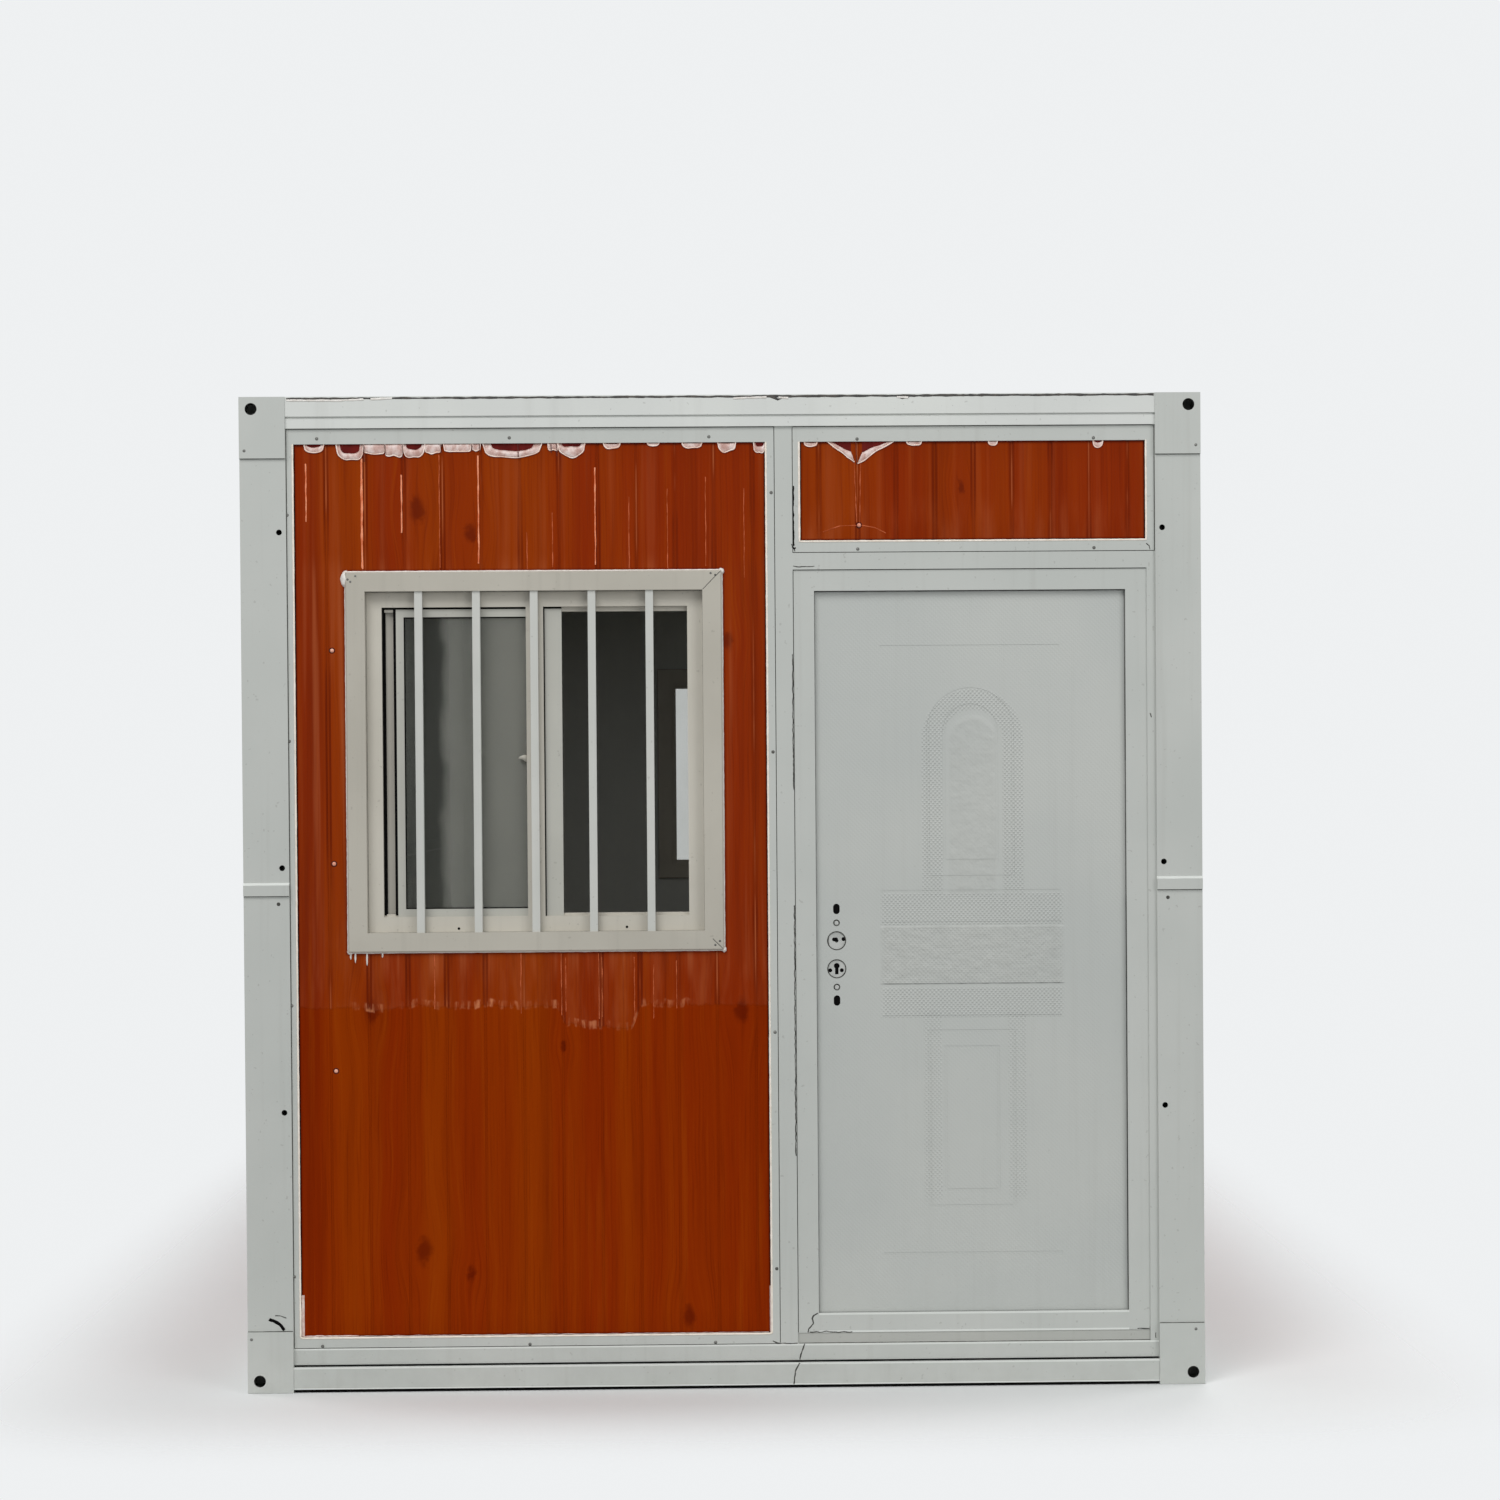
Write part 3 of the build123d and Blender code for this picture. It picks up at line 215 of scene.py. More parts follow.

windowPaintLook = {
    **framePaintLook, "coat": srgb(187, 182, 170), "shade": srgb(179, 174, 162), "cloudScale": 4, "runs": 0.14,
    "splash": 0, "rough": 0.38}
windowPaint = paintedSteel("windowPaint", windowPaintLook)
# the window frame: a coat painted lighter for the light on its sill, and a band of painted shadow under the rim's top
trackPaint = paintedSteel("trackPaint", {**windowPaintLook, "coat": srgb(201, 196, 184), "shade": srgb(193, 188, 176),
                                         "shadeBandZ": (2.028, 2.08), "shadeBandTone": 0.04})
barPaint = paintedSteel("barPaint", {**windowPaintLook, "coat": srgb(204, 204, 198), "shade": srgb(196, 197, 191),
                                     "runs": 0.06})
sashPaint = paintedSteel("sashPaint", {**windowPaintLook, "coat": srgb(188, 187, 178), "shade": srgb(180, 179, 170)})

ceilingLook = {
    **framePaintLook, "coat": srgb(205, 207, 203), "shade": srgb(196, 198, 195), "runs": 0.05, "splash": 0,
    "rough": 0.5}
ceilingBoard = paintedSteel("ceilingBoard", ceilingLook)

roofLook = {
    **framePaintLook, "coat": srgb(178, 182, 181), "shade": srgb(158, 161, 158), "runs": 0.3, "splash": 0,
    "cloudScale": 1.4, "rough": 0.5}
roofSheet = paintedSteel("roofSheet", roofLook)

underLook = {
    **framePaintLook, "coat": srgb(132, 135, 134), "shade": srgb(112, 113, 111), "runs": 0.35, "splash": 0.6,
    "specks": 0.8, "rough": 0.6}
underPaint = paintedSteel("underPaint", underLook)

leafLook = {
    **framePaintLook, "coat": srgb(191, 193, 188), "shade": srgb(184, 187, 183), "runs": 0.06, "splash": 0.05,
    "specks": 0.1, "cloudScale": 1.7,
    "pitch": 0.011, "depth": 2.5, "reliefShadeTone": 0.025,  # pressed lattice
    "archMid": (0.6475, 1.6765), "archFoot": 1.28, "archRing": (0.084, 0.1275),
    "bandZ": (1.045, 1.19), "bandX": (0.42, 0.87), "trimZ": ((0.96, 1.03), (1.2, 1.275)),
    "sideX": ((0.52, 0.56), (0.74, 0.78)), "sideZ": (0.5, 0.95)}


def leafLattice(f):
    lean = (f.x + f.z) % leafLook["pitch"]
    back = (f.x - f.z) % leafLook["pitch"]
    half = leafLook["pitch"] / 2
    mesh = abs(lean - half) * abs(back - half) * (1 / half ** 2)
    midX, midZ = leafLook["archMid"]
    aside, over = f.x - midX, (f.z - midZ).calc("MAXIMUM", f.z - midZ, 0)
    away = over.calc("SQRT", aside * aside + over * over)
    inner, outer = leafLook["archRing"]
    foot = f.step(f.z, leafLook["archFoot"] - 0.015, leafLook["archFoot"] + 0.015)
    arch = f.within(away, inner, outer, 0.01) * foot
    across = f.within(f.x, *leafLook["bandX"], 0.02)
    band = across * f.within(f.z, *leafLook["bandZ"], 0.004)
    ornament = f.noise(f.place, 40, 2) * (band * 2.2 + f.step(away, inner * 0.8, inner * 0.6) * foot * 1.6)
    trims = sum((f.within(f.z, *span, 0.006) for span in leafLook["trimZ"]), 0 * f.z) * across
    sides = sum((f.within(f.x, *span, 0.005) for span in leafLook["sideX"]), 0 * f.z)
    sides = sides * f.within(f.z, *leafLook["sideZ"], 0.03)
    return (mesh * (0.15 + arch + trims + sides * 0.7 + band * 0.5) + ornament * 1.2) * leafLook["depth"]


leafLook["emboss"] = leafLattice
leafPaint = paintedSteel("leafPaint", leafLook)


woodLook = {
    "pale": srgb(158, 66, 4), "orange": srgb(146, 53, 0), "red": srgb(138, 41, 0), "deep": srgb(105, 26, 0),
    "knot": srgb(88, 15, 0), "whitenedAndSheen": srgb(190, 104, 62), "tornGlint": srgb(220, 140, 96),
    "inside": srgb(205, 207, 203), "fibres": 190, "streaks": 30, "bands": 12, "boards": 5, "stretch": 0.014,
    "streakStretch": 0.042, "wobble": 0.009, "filmLow": 0.995, "filmDip": (-0.41, -0.245, 0.055),
    "filmSpan": (-0.92, -0.13), "bareCoat": 0.0, "filmCoat": 0.05, "rough": 0.45, "gloss": 0.02, "edgeShade": 0.9,
    "edgeShadeWide": 0.009, "dimShade": 0.14, "dimShadeWide": 0.08, "ribPitch": 0.1, "glareZ": ((1.12, 2.1), (2.1, 2.2)),
    "layers": [
        ("bands", 0.44, 0.3, 0.38, "deep"), ("streaks", 0.5, 0.78, 0.45, "pale"), ("streaks", 0.5, 0.25, 0.3, "deep"),
        ("fibres", 0.5, 0.3, 0.4, "deep"), ("fibres", 0.55, 0.75, 0.3, "pale"), ("knots", 0.25, 0.9, 0.65, "knot")]}


def woodFilm(name, across, knots, skin, filmed=None, ribs=None, edges=None, frameHole=None):
    f = Finish(name)  # wood grain printed on steel, glossy under the clear film
    side, through = {"x": (f.x, f.y), "y": (f.y, f.x)}[across]
    push, core = 0 * side, 0 * side
    ruffle = (f.noise(f.place, 38, 3) - 0.5) * 0.03
    for place, height, radius in knots:
        away, up = side - place, (f.z - height) * 0.6
        spread = away * away + up * up
        push = push + away * math.e ** (spread * (-1 / (2.4 * radius) ** 2))
        rough = (away + ruffle) * (away + ruffle) + (up - ruffle) * (up - ruffle)
        core = core + math.e ** (rough * (-1 / (0.8 * radius) ** 2))
    bent = side - push * 0.75
    sway = f.drawn(bent * 2, 0, f.z * 0.9, 2) * 0.03 + f.drawn(bent * 11, 0, f.z * 5, 2) * woodLook["wobble"]
    grain = f.vector(bent + sway, 0, f.z * woodLook["stretch"])
    fibres = f.noise(grain, woodLook["fibres"], 4, 0.62)
    streaks = f.noise(f.vector(bent + sway, 0, f.z * woodLook["streakStretch"]), woodLook["streaks"], 3, 0.6)
    boards = f.step(f.noise(grain, woodLook["boards"], 2), 0.4, 0.62)
    colour = f.blend(boards, woodLook["red"], woodLook["orange"])
    fields = {"bands": f.noise(grain, woodLook["bands"], 3, 0.5), "streaks": streaks, "fibres": fibres, "knots": core}
    for field, begin, full, share, tone in woodLook["layers"]:
        colour = f.blend(f.step(fields[field], begin, full) * share, colour, woodLook[tone])
    height = fibres * 0.25
    film = 0.4
    if filmed:  # the heights between which the film whitens
        left, right, fall = woodLook["filmDip"]
        dip = f.within(side, left, right, 0.03) * fall
        edge = f.z - woodLook["filmLow"] + dip - (f.drawn(side * 6, 0, 0, 4, 0.7) - 0.5) * 0.07
        film = f.step(edge, -0.004, 0.004)
        # the film's torn edge, pale: a painted glint
        tornEdgeGlint = f.within(edge, -0.003, 0.012, 0.006) * f.step(f.drawn(side * 60, 0, f.z * 14), 0.46, 0.66)
        patches = f.step(f.drawn(side * 9, 0, 2, 2), 0.36, 0.6)
        tornEdgeGlint = tornEdgeGlint * f.within(side, *woodLook["filmSpan"], 0.06) * patches
        hazeAndGlare = film * f.step(f.z, *filmed) * f.step(f.drawn(side * 24, 0, f.z * 4), 0.42, 0.75)
        # the film's milky whitening; beside and above the window, pale glare streaks with darker streaks between
        # them: painted reflection
        beside, above = woodLook["glareZ"]
        sides = f.within(f.z, *beside, 0.08) + f.step(f.z, *above) * 0.35
        glare = f.drawn(side * 30, 0, f.z * 0.7)
        hazeAndGlare = hazeAndGlare * 0.24 + sides * (0.02 + f.step(glare, 0.5, 0.72) * 0.34)
        colour = f.blend(sides * f.step(glare, 0.48, 0.3) * 0.4, colour, woodLook["deep"])
        colour = f.blend(hazeAndGlare, colour, woodLook["whitenedAndSheen"])
        colour = f.blend(tornEdgeGlint * 0.65, colour, woodLook["tornGlint"])
        height = height + f.drawn(side * 22, 0, f.z * 3, 2) * film * 1.5
    if ribs is not None:  # painted shade in the ribs, darker stripes beside them, and a painted shine on the film along them
        beside = (side - ribs + woodLook["ribPitch"] / 2) % woodLook["ribPitch"] - woodLook["ribPitch"] / 2
        uneven = f.step(f.drawn((side - beside) * 40, 0, f.z * 2.2), 0.4, 0.62)
        ribShade = 0.03 + uneven * 0.05 + film * 0.1
        colour = f.blend(f.within(beside, -0.0015, 0.0015, 0.002) * ribShade, colour, woodLook["knot"])
        flank = abs(beside)
        shine = f.step(f.drawn((side - beside) * 40, 3, f.z * 2.2), 0.5, 0.62)
        colour = f.blend(f.within(flank, 0.0035, 0.0065, 0.002) * uneven * film * 0.8, colour, woodLook["deep"])
        colour = f.blend(f.within(flank, 0.0, 0.0012, 0.0012) * shine * film * 0.55, colour, woodLook["whitenedAndSheen"])
    if edges:  # painted shade in the corner along the channel
        left, right, low, high = edges
        near = f.x - left
        for other in (right - f.x, f.z - low, high - f.z):
            near = near.calc("MINIMUM", near, other)
        colour = f.blend(f.step(near, woodLook["edgeShadeWide"], 0.0) * woodLook["edgeShade"], colour, woodLook["knot"])
        colour = f.blend(f.step(near, woodLook["dimShadeWide"], 0.0) * woodLook["dimShade"], colour, woodLook["deep"])
    if frameHole:  # and painted shadow round the window's rim
        midX, midZ, halfX, halfZ = frameHole
        outward = abs(f.x - midX) - halfX
        outward = outward.calc("MAXIMUM", outward, abs(f.z - midZ) - halfZ)
        colour = f.blend(f.within(outward, -0.01, 0.003, 0.008) * 0.55, colour, woodLook["knot"])
    inside = abs(through) < skin  # the room side is plain white
    colour = f.blend(inside, colour, woodLook["inside"])
    coat = woodLook["bareCoat"] + film * (woodLook["filmCoat"] - woodLook["bareCoat"])
    return f.surface({"Base Color": colour, "Roughness": woodLook["rough"] + fibres * 0.1 - film * 0.08,
                      "Specular IOR Level": woodLook["gloss"], "Coat Weight": coat, "Coat Roughness": 0.08,
                      "Normal": f.bump(height, 0.0012)})


frontKnots = [
    (-0.785, 2.277, 0.03), (-0.65, 2.221, 0.022), (-0.913, 0.985, 0.026), (-0.785, 0.364, 0.032),
    (-0.662, 0.299, 0.02), (0.014, 1.937, 0.022), (0.041, 0.98, 0.028), (-0.417, 0.888, 0.014),
    (-0.098, 0.185, 0.024), (0.62, 2.33, 0.014)]
knotDice = random.Random(11)


def looseKnots(low, high, count):
    return [(knotDice.uniform(low, high), knotDice.uniform(0.2, 2.4), knotDice.uniform(0.014, 0.03))
            for _ in range(count)]


roomSkin = 0.003  # how deep the white of the room side goes
endSkin = -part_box("front_panel")[1].y + roomSkin
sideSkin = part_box("right_lower_panel")[0].x + roomSkin
rimLow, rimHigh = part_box("window_rim")
rimSpan = ((rimLow.x + rimHigh.x) / 2, (rimLow.z + rimHigh.z) / 2,
           (rimHigh.x - rimLow.x) / 2, (rimHigh.z - rimLow.z) / 2)
wallEdges, transomEdges = (-1.103, 0.114, 0.141, 2.449), (0.203, 1.098, 2.193, 2.449)  # ends of the channels' lips
frontWood = woodFilm("frontWood", "x", frontKnots, endSkin, (1.32, 1.0), 0.08, wallEdges, rimSpan)
transomWood = woodFilm("transomWood", "x", frontKnots, endSkin, (2.33, 2.2), 0.0525, transomEdges)
rearWood = woodFilm("rearWood", "x", looseKnots(-1.1, 1.1, 9), endSkin, ribs=0.05)
sideWood = woodFilm("sideWood", "y", looseKnots(-2.7, 2.7, 12), sideSkin, ribs=0.0)


def metalLook(name, look):  # plated metal, brushed and slightly dulled
    f = Finish(name)
    brush = f.drawn(f.x * 900, f.y * 60, f.z * 60)
    dull = f.step(f.noise(f.place, 35, 4), 0.4, 0.7)
    colour = f.blend(dull, srgb(*look["bright"]), srgb(*look["dull"]))
    return f.surface({"Base Color": colour, "Roughness": look["rough"] + dull * 0.2,
                      "Metallic": look["metal"] - dull * 0.2, "Normal": f.bump(brush, 0.0001)})


lockMetal = metalLook("lockMetal", {"bright": (186, 187, 183), "dull": (168, 170, 166), "metal": 0.45, "rough": 0.35})
hingeMetal = metalLook("hingeMetal", {"bright": (170, 172, 172), "dull": (128, 130, 130), "metal": 0.9, "rough": 0.3})
screwZinc = metalLook("screwZinc", {"bright": (112, 112, 108), "dull": (78, 77, 73), "metal": 0.6, "rough": 0.4})
rivetAlloy = metalLook("rivetAlloy", {"bright": (244, 190, 168), "dull": (226, 148, 120), "metal": 0.2,
                                      "rough": 0.45})


glassLook = {"greyerEdge": (-0.745, -0.705), "all": 0.02, "front": 0.22, "smears": 0.03, "rear": 0.13, "bend": 1.13}


def dustyGlass():
    f = Finish("dustyGlass")
    smears = f.step(f.drawn(f.x * 5, f.y * 5, f.z * 1.5, 4, 0.6), 0.35, 0.75)
    tint = f.blend(smears, srgb(222, 224, 221), srgb(210, 212, 208))
    pane = f.shader({"Base Color": tint, "Roughness": 0.01 + smears * 0.05, "Transmission Weight": 1.0,
                     "IOR": glassLook["bend"]})
    dust = f.shader({"Base Color": f.blend(smears, srgb(158, 158, 150), srgb(174, 173, 164)), "Roughness": 0.7})
    drift = f.x + (f.drawn(0, 0, f.z * 4) - 0.5) * 0.1
    # on the front pane, a greyer, duller layer right of greyerEdge
    front = f.step(drift, *glassLook["greyerEdge"]) * glassLook["front"] + smears * glassLook["smears"]
    thick = glassLook["all"] + (f.y < 0) * front + (f.y > 0) * glassLook["rear"]
    return f.close(f.node("ShaderNodeMixShader", put={0: thick, 1: pane, 2: dust}))


glassPane = dustyGlass()


def plankFloor(plankWide=0.18):
    f = Finish("plankFloor")
    board = f.x / plankWide
    tone = f.drawn((f.x - f.x % plankWide) * 9, 0, 0, 1)
    grain = f.drawn(f.x * 60, f.y * 1.5, 0, 4)
    colour = f.ramp(grain * 0.6 + tone * 0.4, [(0.3, srgb(108, 92, 74)), (0.55, srgb(138, 120, 98)),
                                               (0.75, srgb(158, 142, 120))])
    seam = f.step(abs(board % 1 - 0.5), 0.488, 0.494)
    colour = f.blend(seam * 0.8, colour, srgb(58, 48, 38))
    return f.surface({"Base Color": colour, "Roughness": 0.45 + grain * 0.15,
                      "Normal": f.bump(grain * 0.3 - seam, 0.0008)})


def mottled(name, first, second, rough, scale, coat=0.0, gloss=0.5):  # small pieces: two tones that cloud together
    f = Finish(name)
    share = f.step(f.noise(f.place, scale, 4), 0.35, 0.68)
    colour, grit = f.blend(share, srgb(*first), srgb(*second)), f.noise(f.place, scale * 4, 2)
    return f.surface({"Base Color": colour, "Roughness": rough + share * 0.15, "Coat Weight": coat,
                      "Specular IOR Level": gloss, "Normal": f.bump(grit, 0.0004)})


holeBlack = mottled("holeBlack", (10, 10, 10), (19, 18, 18), 0.8, 120, gloss=0.03)
crackDark = mottled("crackDark", (60, 60, 57), (94, 93, 88), 0.8, 90, gloss=0.1)
ringBrown = mottled("ringBrown", (58, 14, 10), (84, 24, 14), 0.7, 90, gloss=0.1)
sealantWhite = mottled("sealantWhite", (234, 230, 224), (220, 214, 206), 0.45, 60)
sealantCream = mottled("sealantCream", (250, 240, 228), (238, 226, 210), 0.4, 60)
gapDark = mottled("gapDark", (34, 9, 8), (56, 15, 9), 0.8, 60, gloss=0.05)
filmWhite = mottled("filmWhite", (228, 210, 203), (204, 168, 154), 0.25, 45, 0.3)
tapeDark = mottled("tapeDark", (50, 48, 47), (84, 79, 74), 0.7, 50)
gasketBlack = mottled("gasketBlack", (30, 29, 28), (42, 40, 39), 0.6, 80)
creaseGlint = mottled("creaseGlint", (250, 164, 124), (222, 116, 74), 0.5, 40, gloss=0.08)
creaseFaint = mottled("creaseFaint", (204, 106, 66), (158, 68, 28), 0.5, 40, gloss=0.08)
filmEdge = mottled("filmEdge", (252, 234, 224), (238, 200, 182), 0.4, 45)
filmWine = mottled("filmWine", (104, 22, 16), (82, 14, 12), 0.5, 30, gloss=0.1)
foldShade = mottled("foldShade", (74, 34, 32), (104, 60, 54), 0.6, 60, gloss=0.1)


def tornFilm():  # clear film gone milky, thinner between its folds
    f = Finish("tornFilm")
    folds = f.drawn(f.x * 48, 0, f.z * 30, 4, 0.6)
    colour = f.blend(f.step(folds, 0.35, 0.68), srgb(216, 174, 162), srgb(236, 218, 212))
    return f.surface({"Base Color": colour, "Roughness": 0.3 + folds * 0.1,
                      "Alpha": 0.6 + f.step(folds, 0.32, 0.6) * 0.32, "Normal": f.bump(folds, 0.0015)})


milkyFilm = tornFilm()
print("finishes made:", len(bpy.data.materials))


slotFinishes = {
    "white_frame": framePaint, "wood_panel": sideWood, "door_paint": leafPaint, "window_paint": windowPaint,
    "glass": glassPane, "lock_metal": lockMetal, "hinge_metal": hingeMetal, "floor": plankFloor(),
    "base_steel": underPaint, "ceiling": ceilingBoard, "roof": roofSheet}
nodeFinishes = {
    "front_panel": frontWood, "transom_panel": transomWood, "rear_panel": rearWood, "door_jambs": framePaint,
    "door_frame_rails": sillPaint, "base_front_beam": ledgePaint, "fold_strips": stripPaint,
    "front_wall_rails": railPaint, "window_frame": trackPaint, "window_bars": barPaint, "rear_window_bars": barPaint,
    "outer_sash": sashPaint, "roof_front_beam": beamPaint, "roof_rear_beam": beamPaint}
for part in frame["record"]["subparts"]:
    dressed = cadNodes[part["node"]]
    finish = nodeFinishes.get(part["node"], slotFinishes[part["material_slot"]])
    dressed.data.materials.clear()
    dressed.data.materials.append(finish)
print("frame dressed")


faceNodes = {
    "panel": "front_panel", "trim": "front_panel_channel", "post": "lower_posts", "block": "base_corner_blocks",
    "rim": "window_rim", "window": "window_frame", "jamb": "door_jambs", "beam": "roof_front_beam",
    "ledge": "base_front_beam", "leaf": "door_leaf", "rail": "front_wall_rails"}
faces = {name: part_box(node)[0].y for name, node in faceNodes.items()}


def keepPiece(name, mesh, body="house"):
    piece = bpy.data.objects.new(name, mesh)
    scene.collection.objects.link(piece)
    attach(piece, body)
    return piece


def bareMesh(name, verts, edges=(), polygons=()):
    mesh = bpy.data.meshes.new(name)
    mesh.from_pydata([tuple(v) for v in verts], list(edges), list(polygons))
    return mesh


class Maker(Tree):  # a Geometry Nodes tree with named inputs
    def __init__(self, name, sizes):
        super().__init__(bpy.data.node_groups.new(name, "GeometryNodeTree"))
        door = self.tree.interface
        door.new_socket("Geometry", in_out="OUTPUT", socket_type="NodeSocketGeometry")
        door.new_socket("Geometry", in_out="INPUT", socket_type="NodeSocketGeometry")
        for label, kind in sizes.items():
            door.new_socket(label, in_out="INPUT", socket_type="NodeSocket" + kind)
        self.inputs = {wire.socket.name: wire for wire in self.outputs(self.node("NodeGroupInput"))}

    def close(self, shape):  # realized, with its finish
        shape = self.node("GeometryNodeRealizeInstances", put={0: shape})
        shape = self.node("GeometryNodeSetMaterial", put={0: shape, "Material": self.inputs["Finish"]})
        end = self.tree.nodes.new("NodeGroupOutput")
        self.tree.links.new(shape.socket, end.inputs[0])

    def make(self, name, start, sizes, slotName, body="house"):
        source = bpy.data.objects.new(name + "Source", start)
        modifier = source.modifiers.new("make", "NODES")
        modifier.node_group = self.tree
        for item in self.tree.interface.items_tree:
            if item.in_out == "INPUT" and item.name in sizes:
                modifier[item.identifier] = sizes[item.name]
        scene.collection.objects.link(source)
        mesh = bpy.data.meshes.new_from_object(source.evaluated_get(bpy.context.evaluated_depsgraph_get()))
        source.modifiers.remove(modifier)
        bpy.data.objects.remove(source)
        shape = bmesh.new()
        shape.from_mesh(mesh)
        if shape.calc_volume(signed=True) < 0:
            bmesh.ops.reverse_faces(shape, faces=shape.faces)
        shape.to_mesh(mesh)
        shape.free()
        return keepPiece(name, mesh, body)


def fixingTree():  # a low head in two tapers, at every point of the mesh
    m = Maker("fixings", {"Diameter": "Float", "Height": "Float", "Crown": "Float", "Facing": "Rotation",
                          "Finish": "Material"})
    radius, height = m.inputs["Diameter"] * 0.5, m.inputs["Height"]
    inner = radius * m.inputs["Crown"]
    tapers = []
    for low, top, deep in ((radius, inner, height * 0.6), (inner, inner * 0.55, height * 0.4)):
        put = {"Vertices": 16, "Radius Bottom": low, "Radius Top": top, "Depth": deep}
        tapers.append(m.node("GeometryNodeMeshCone", put=put))
    skirt, crown = tapers
    crown = m.node("GeometryNodeTransform", put={0: crown, "Translation": m.vector(0, 0, height * 0.6)})
    head = m.node("GeometryNodeJoinGeometry", put={0: [skirt, crown]})
    put = {"Points": m.inputs["Geometry"], "Instance": head, "Rotation": m.inputs["Facing"]}
    m.close(m.node("GeometryNodeInstanceOnPoints", put=put))
    return m


def beadTree():  # a rough bead along the mesh's edges, flattened against the wall
    m = Maker("beads", {"Radius": "Float", "Ragged": "Float", "Step": "Float", "Flatten": "Float", "Wander": "Float",
                        "Grain": "Float", "Finish": "Material"})
    path = m.node("GeometryNodeMeshToCurve", put={0: m.inputs["Geometry"]})
    path = m.node("GeometryNodeResampleCurve", {"mode": "LENGTH"}, {0: path, "Length": m.inputs["Step"]})
    place = m.node("GeometryNodeInputPosition")
    drift = m.node("ShaderNodeTexNoise", put={"Vector": place, "Scale": m.inputs["Grain"], "Detail": 2.0},
                   out="Color")
    drift = m.vectors("SUBTRACT", drift, (0.5, 0.5, 0.5))
    drift = m.vectors("MULTIPLY", drift, m.vector(m.inputs["Wander"], 0, m.inputs["Wander"]))
    path = m.node("GeometryNodeSetPosition", put={0: path, "Offset": drift})
    path, home = m.outputs(m.node("GeometryNodeCaptureAttribute", {"captures": ["home"]}, {0: path, 1: place}))[:2]
    rough = m.node("ShaderNodeTexNoise", put={"Vector": place, "Scale": m.inputs["Grain"] * 1.7, "Detail": 3.0})
    width = m.inputs["Radius"] * (1 + (rough - 0.5) * 2 * m.inputs["Ragged"])
    ring = m.node("GeometryNodeCurvePrimitiveCircle", put={"Resolution": 8, "Radius": 1.0})
    width = width.calc("MAXIMUM", width, m.inputs["Radius"] * 0.15)
    tube = m.node("GeometryNodeCurveToMesh", put={0: path, 1: ring, "Scale": width, "Fill Caps": True})
    off = m.vectors("SUBTRACT", place, home)
    off = m.vectors("MULTIPLY", off, m.vector(1, m.inputs["Flatten"], 1))
    tube = m.node("GeometryNodeSetPosition", put={0: tube, "Position": m.vectors("ADD", home, off)})
    m.close(m.node("GeometryNodeSetShadeSmooth", put={0: tube}))
    return m


fixings, beads = fixingTree(), beadTree()
quarter = math.pi / 2
facing = {
    "front": (quarter, 0, 0), "rear": (-quarter, 0, 0), "left": (0, -quarter, 0), "right": (0, quarter, 0),
    "up": (0, 0, 0)}


def heads(name, spots, look, finish, slotName="hinge_metal", body="house", way="front"):  # a round head at every spot
    sizes = {"Diameter": look["size"][0], "Height": look["size"][1], "Crown": look["crown"]}
    fixings.make(name, bareMesh(name, spots), {**sizes, "Facing": facing[way], "Finish": finish}, slotName, body)


def bead(name, paths, radius, finish, slotName, body="house", ragged=0.3, step=0.003, flatten=0.6, wander=0.0006,
         grain=60.0):
    verts, edges = [], []
    for path in paths:
        first = len(verts)
        verts += path
        edges += [(i, i + 1) for i in range(first, len(verts) - 1)]
    sizes = {"Radius": radius, "Ragged": ragged, "Step": step, "Flatten": flatten, "Wander": wander, "Grain": grain}
    beads.make(name, bareMesh(name, verts, edges), {**sizes, "Finish": finish}, slotName, body)


def onWall(face, places):  # points on a face of the front, from (x, z) pairs
    return [(x, face, z) for x, z in places]


def circle(x, z, radius, halfTurn, first, last):  # from step first to step last, halfTurn steps to half a turn
    angles = [step * math.pi / halfTurn for step in range(first, last + 1)]
    return [(x + radius * math.cos(angle), z + radius * math.sin(angle)) for angle in angles]


def edgeLine(node, inset=0.0):  # round a piece's face, closed
    low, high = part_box(node)
    left, right, foot, top = low.x + inset, high.x - inset, low.z + inset, high.z - inset
    return [(left, foot), (right, foot), (right, top), (left, top), (left, foot)]


def fourSides(left, right, low, high):
    return {"top": [(left, high), (right, high)], "right": [(right, high), (right, low)],
            "left": [(left, high), (left, low)], "foot": [(left, low), (right, low)]}


trimScrews = {
    "size": (0.0088, 0.0019), "crown": 0.75, "topZ": 2.463, "top": (-1.0416, -0.546, -0.0311), "footZ": 0.118,
    "foot": (-1.048, -0.512, -0.031), "transomZ": (2.455, 2.171), "transom": (0.352, 0.964), "mullionX": 0.129,
    "mullion": (2.318, 1.648, 0.922, 0.308), "leftX": -1.1195, "left": (2.267, 1.684, 1.001, 0.299)}
places = [(x, trimScrews[row + "Z"]) for row in ("top", "foot") for x in trimScrews[row]]
places += [(x, z) for x in trimScrews["transom"] for z in trimScrews["transomZ"]]
places += [(trimScrews[row + "X"], z) for row in ("mullion", "left") for z in trimScrews[row]]
heads("trimScrews", onWall(faces["trim"], places), trimScrews, screwZinc)

blockRivets = {
    "size": (0.008, 0.0015), "crown": 0.6,
    "at": [(-1.2266, 2.4315), (1.2275, 2.434), (-1.2295, 0.1395), (1.216, 0.143)]}
heads("blockRivets", onWall(faces["block"], blockRivets["at"]), blockRivets, screwZinc)

popRivets = {
    "size": (0.0105, 0.003), "crown": 0.7,
    "at": [(-1.008, 1.9176), (-1.0078, 1.3668), (-1.0074, 0.8306), (0.3559, 2.2333)]}
heads("popRivets", onWall(faces["panel"], popRivets["at"]), popRivets, rivetAlloy)

pinMarks = {"size": (0.0098, 0.0005), "crown": 0.9, "x": 1.15, "drop": 0.021}
pins = [(sign * pinMarks["x"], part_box("fold_strips")[0].z - pinMarks["drop"]) for sign in (-1, 1)]
heads("pinMarks", onWall(faces["post"], pins), pinMarks, crackDark, "white_frame")

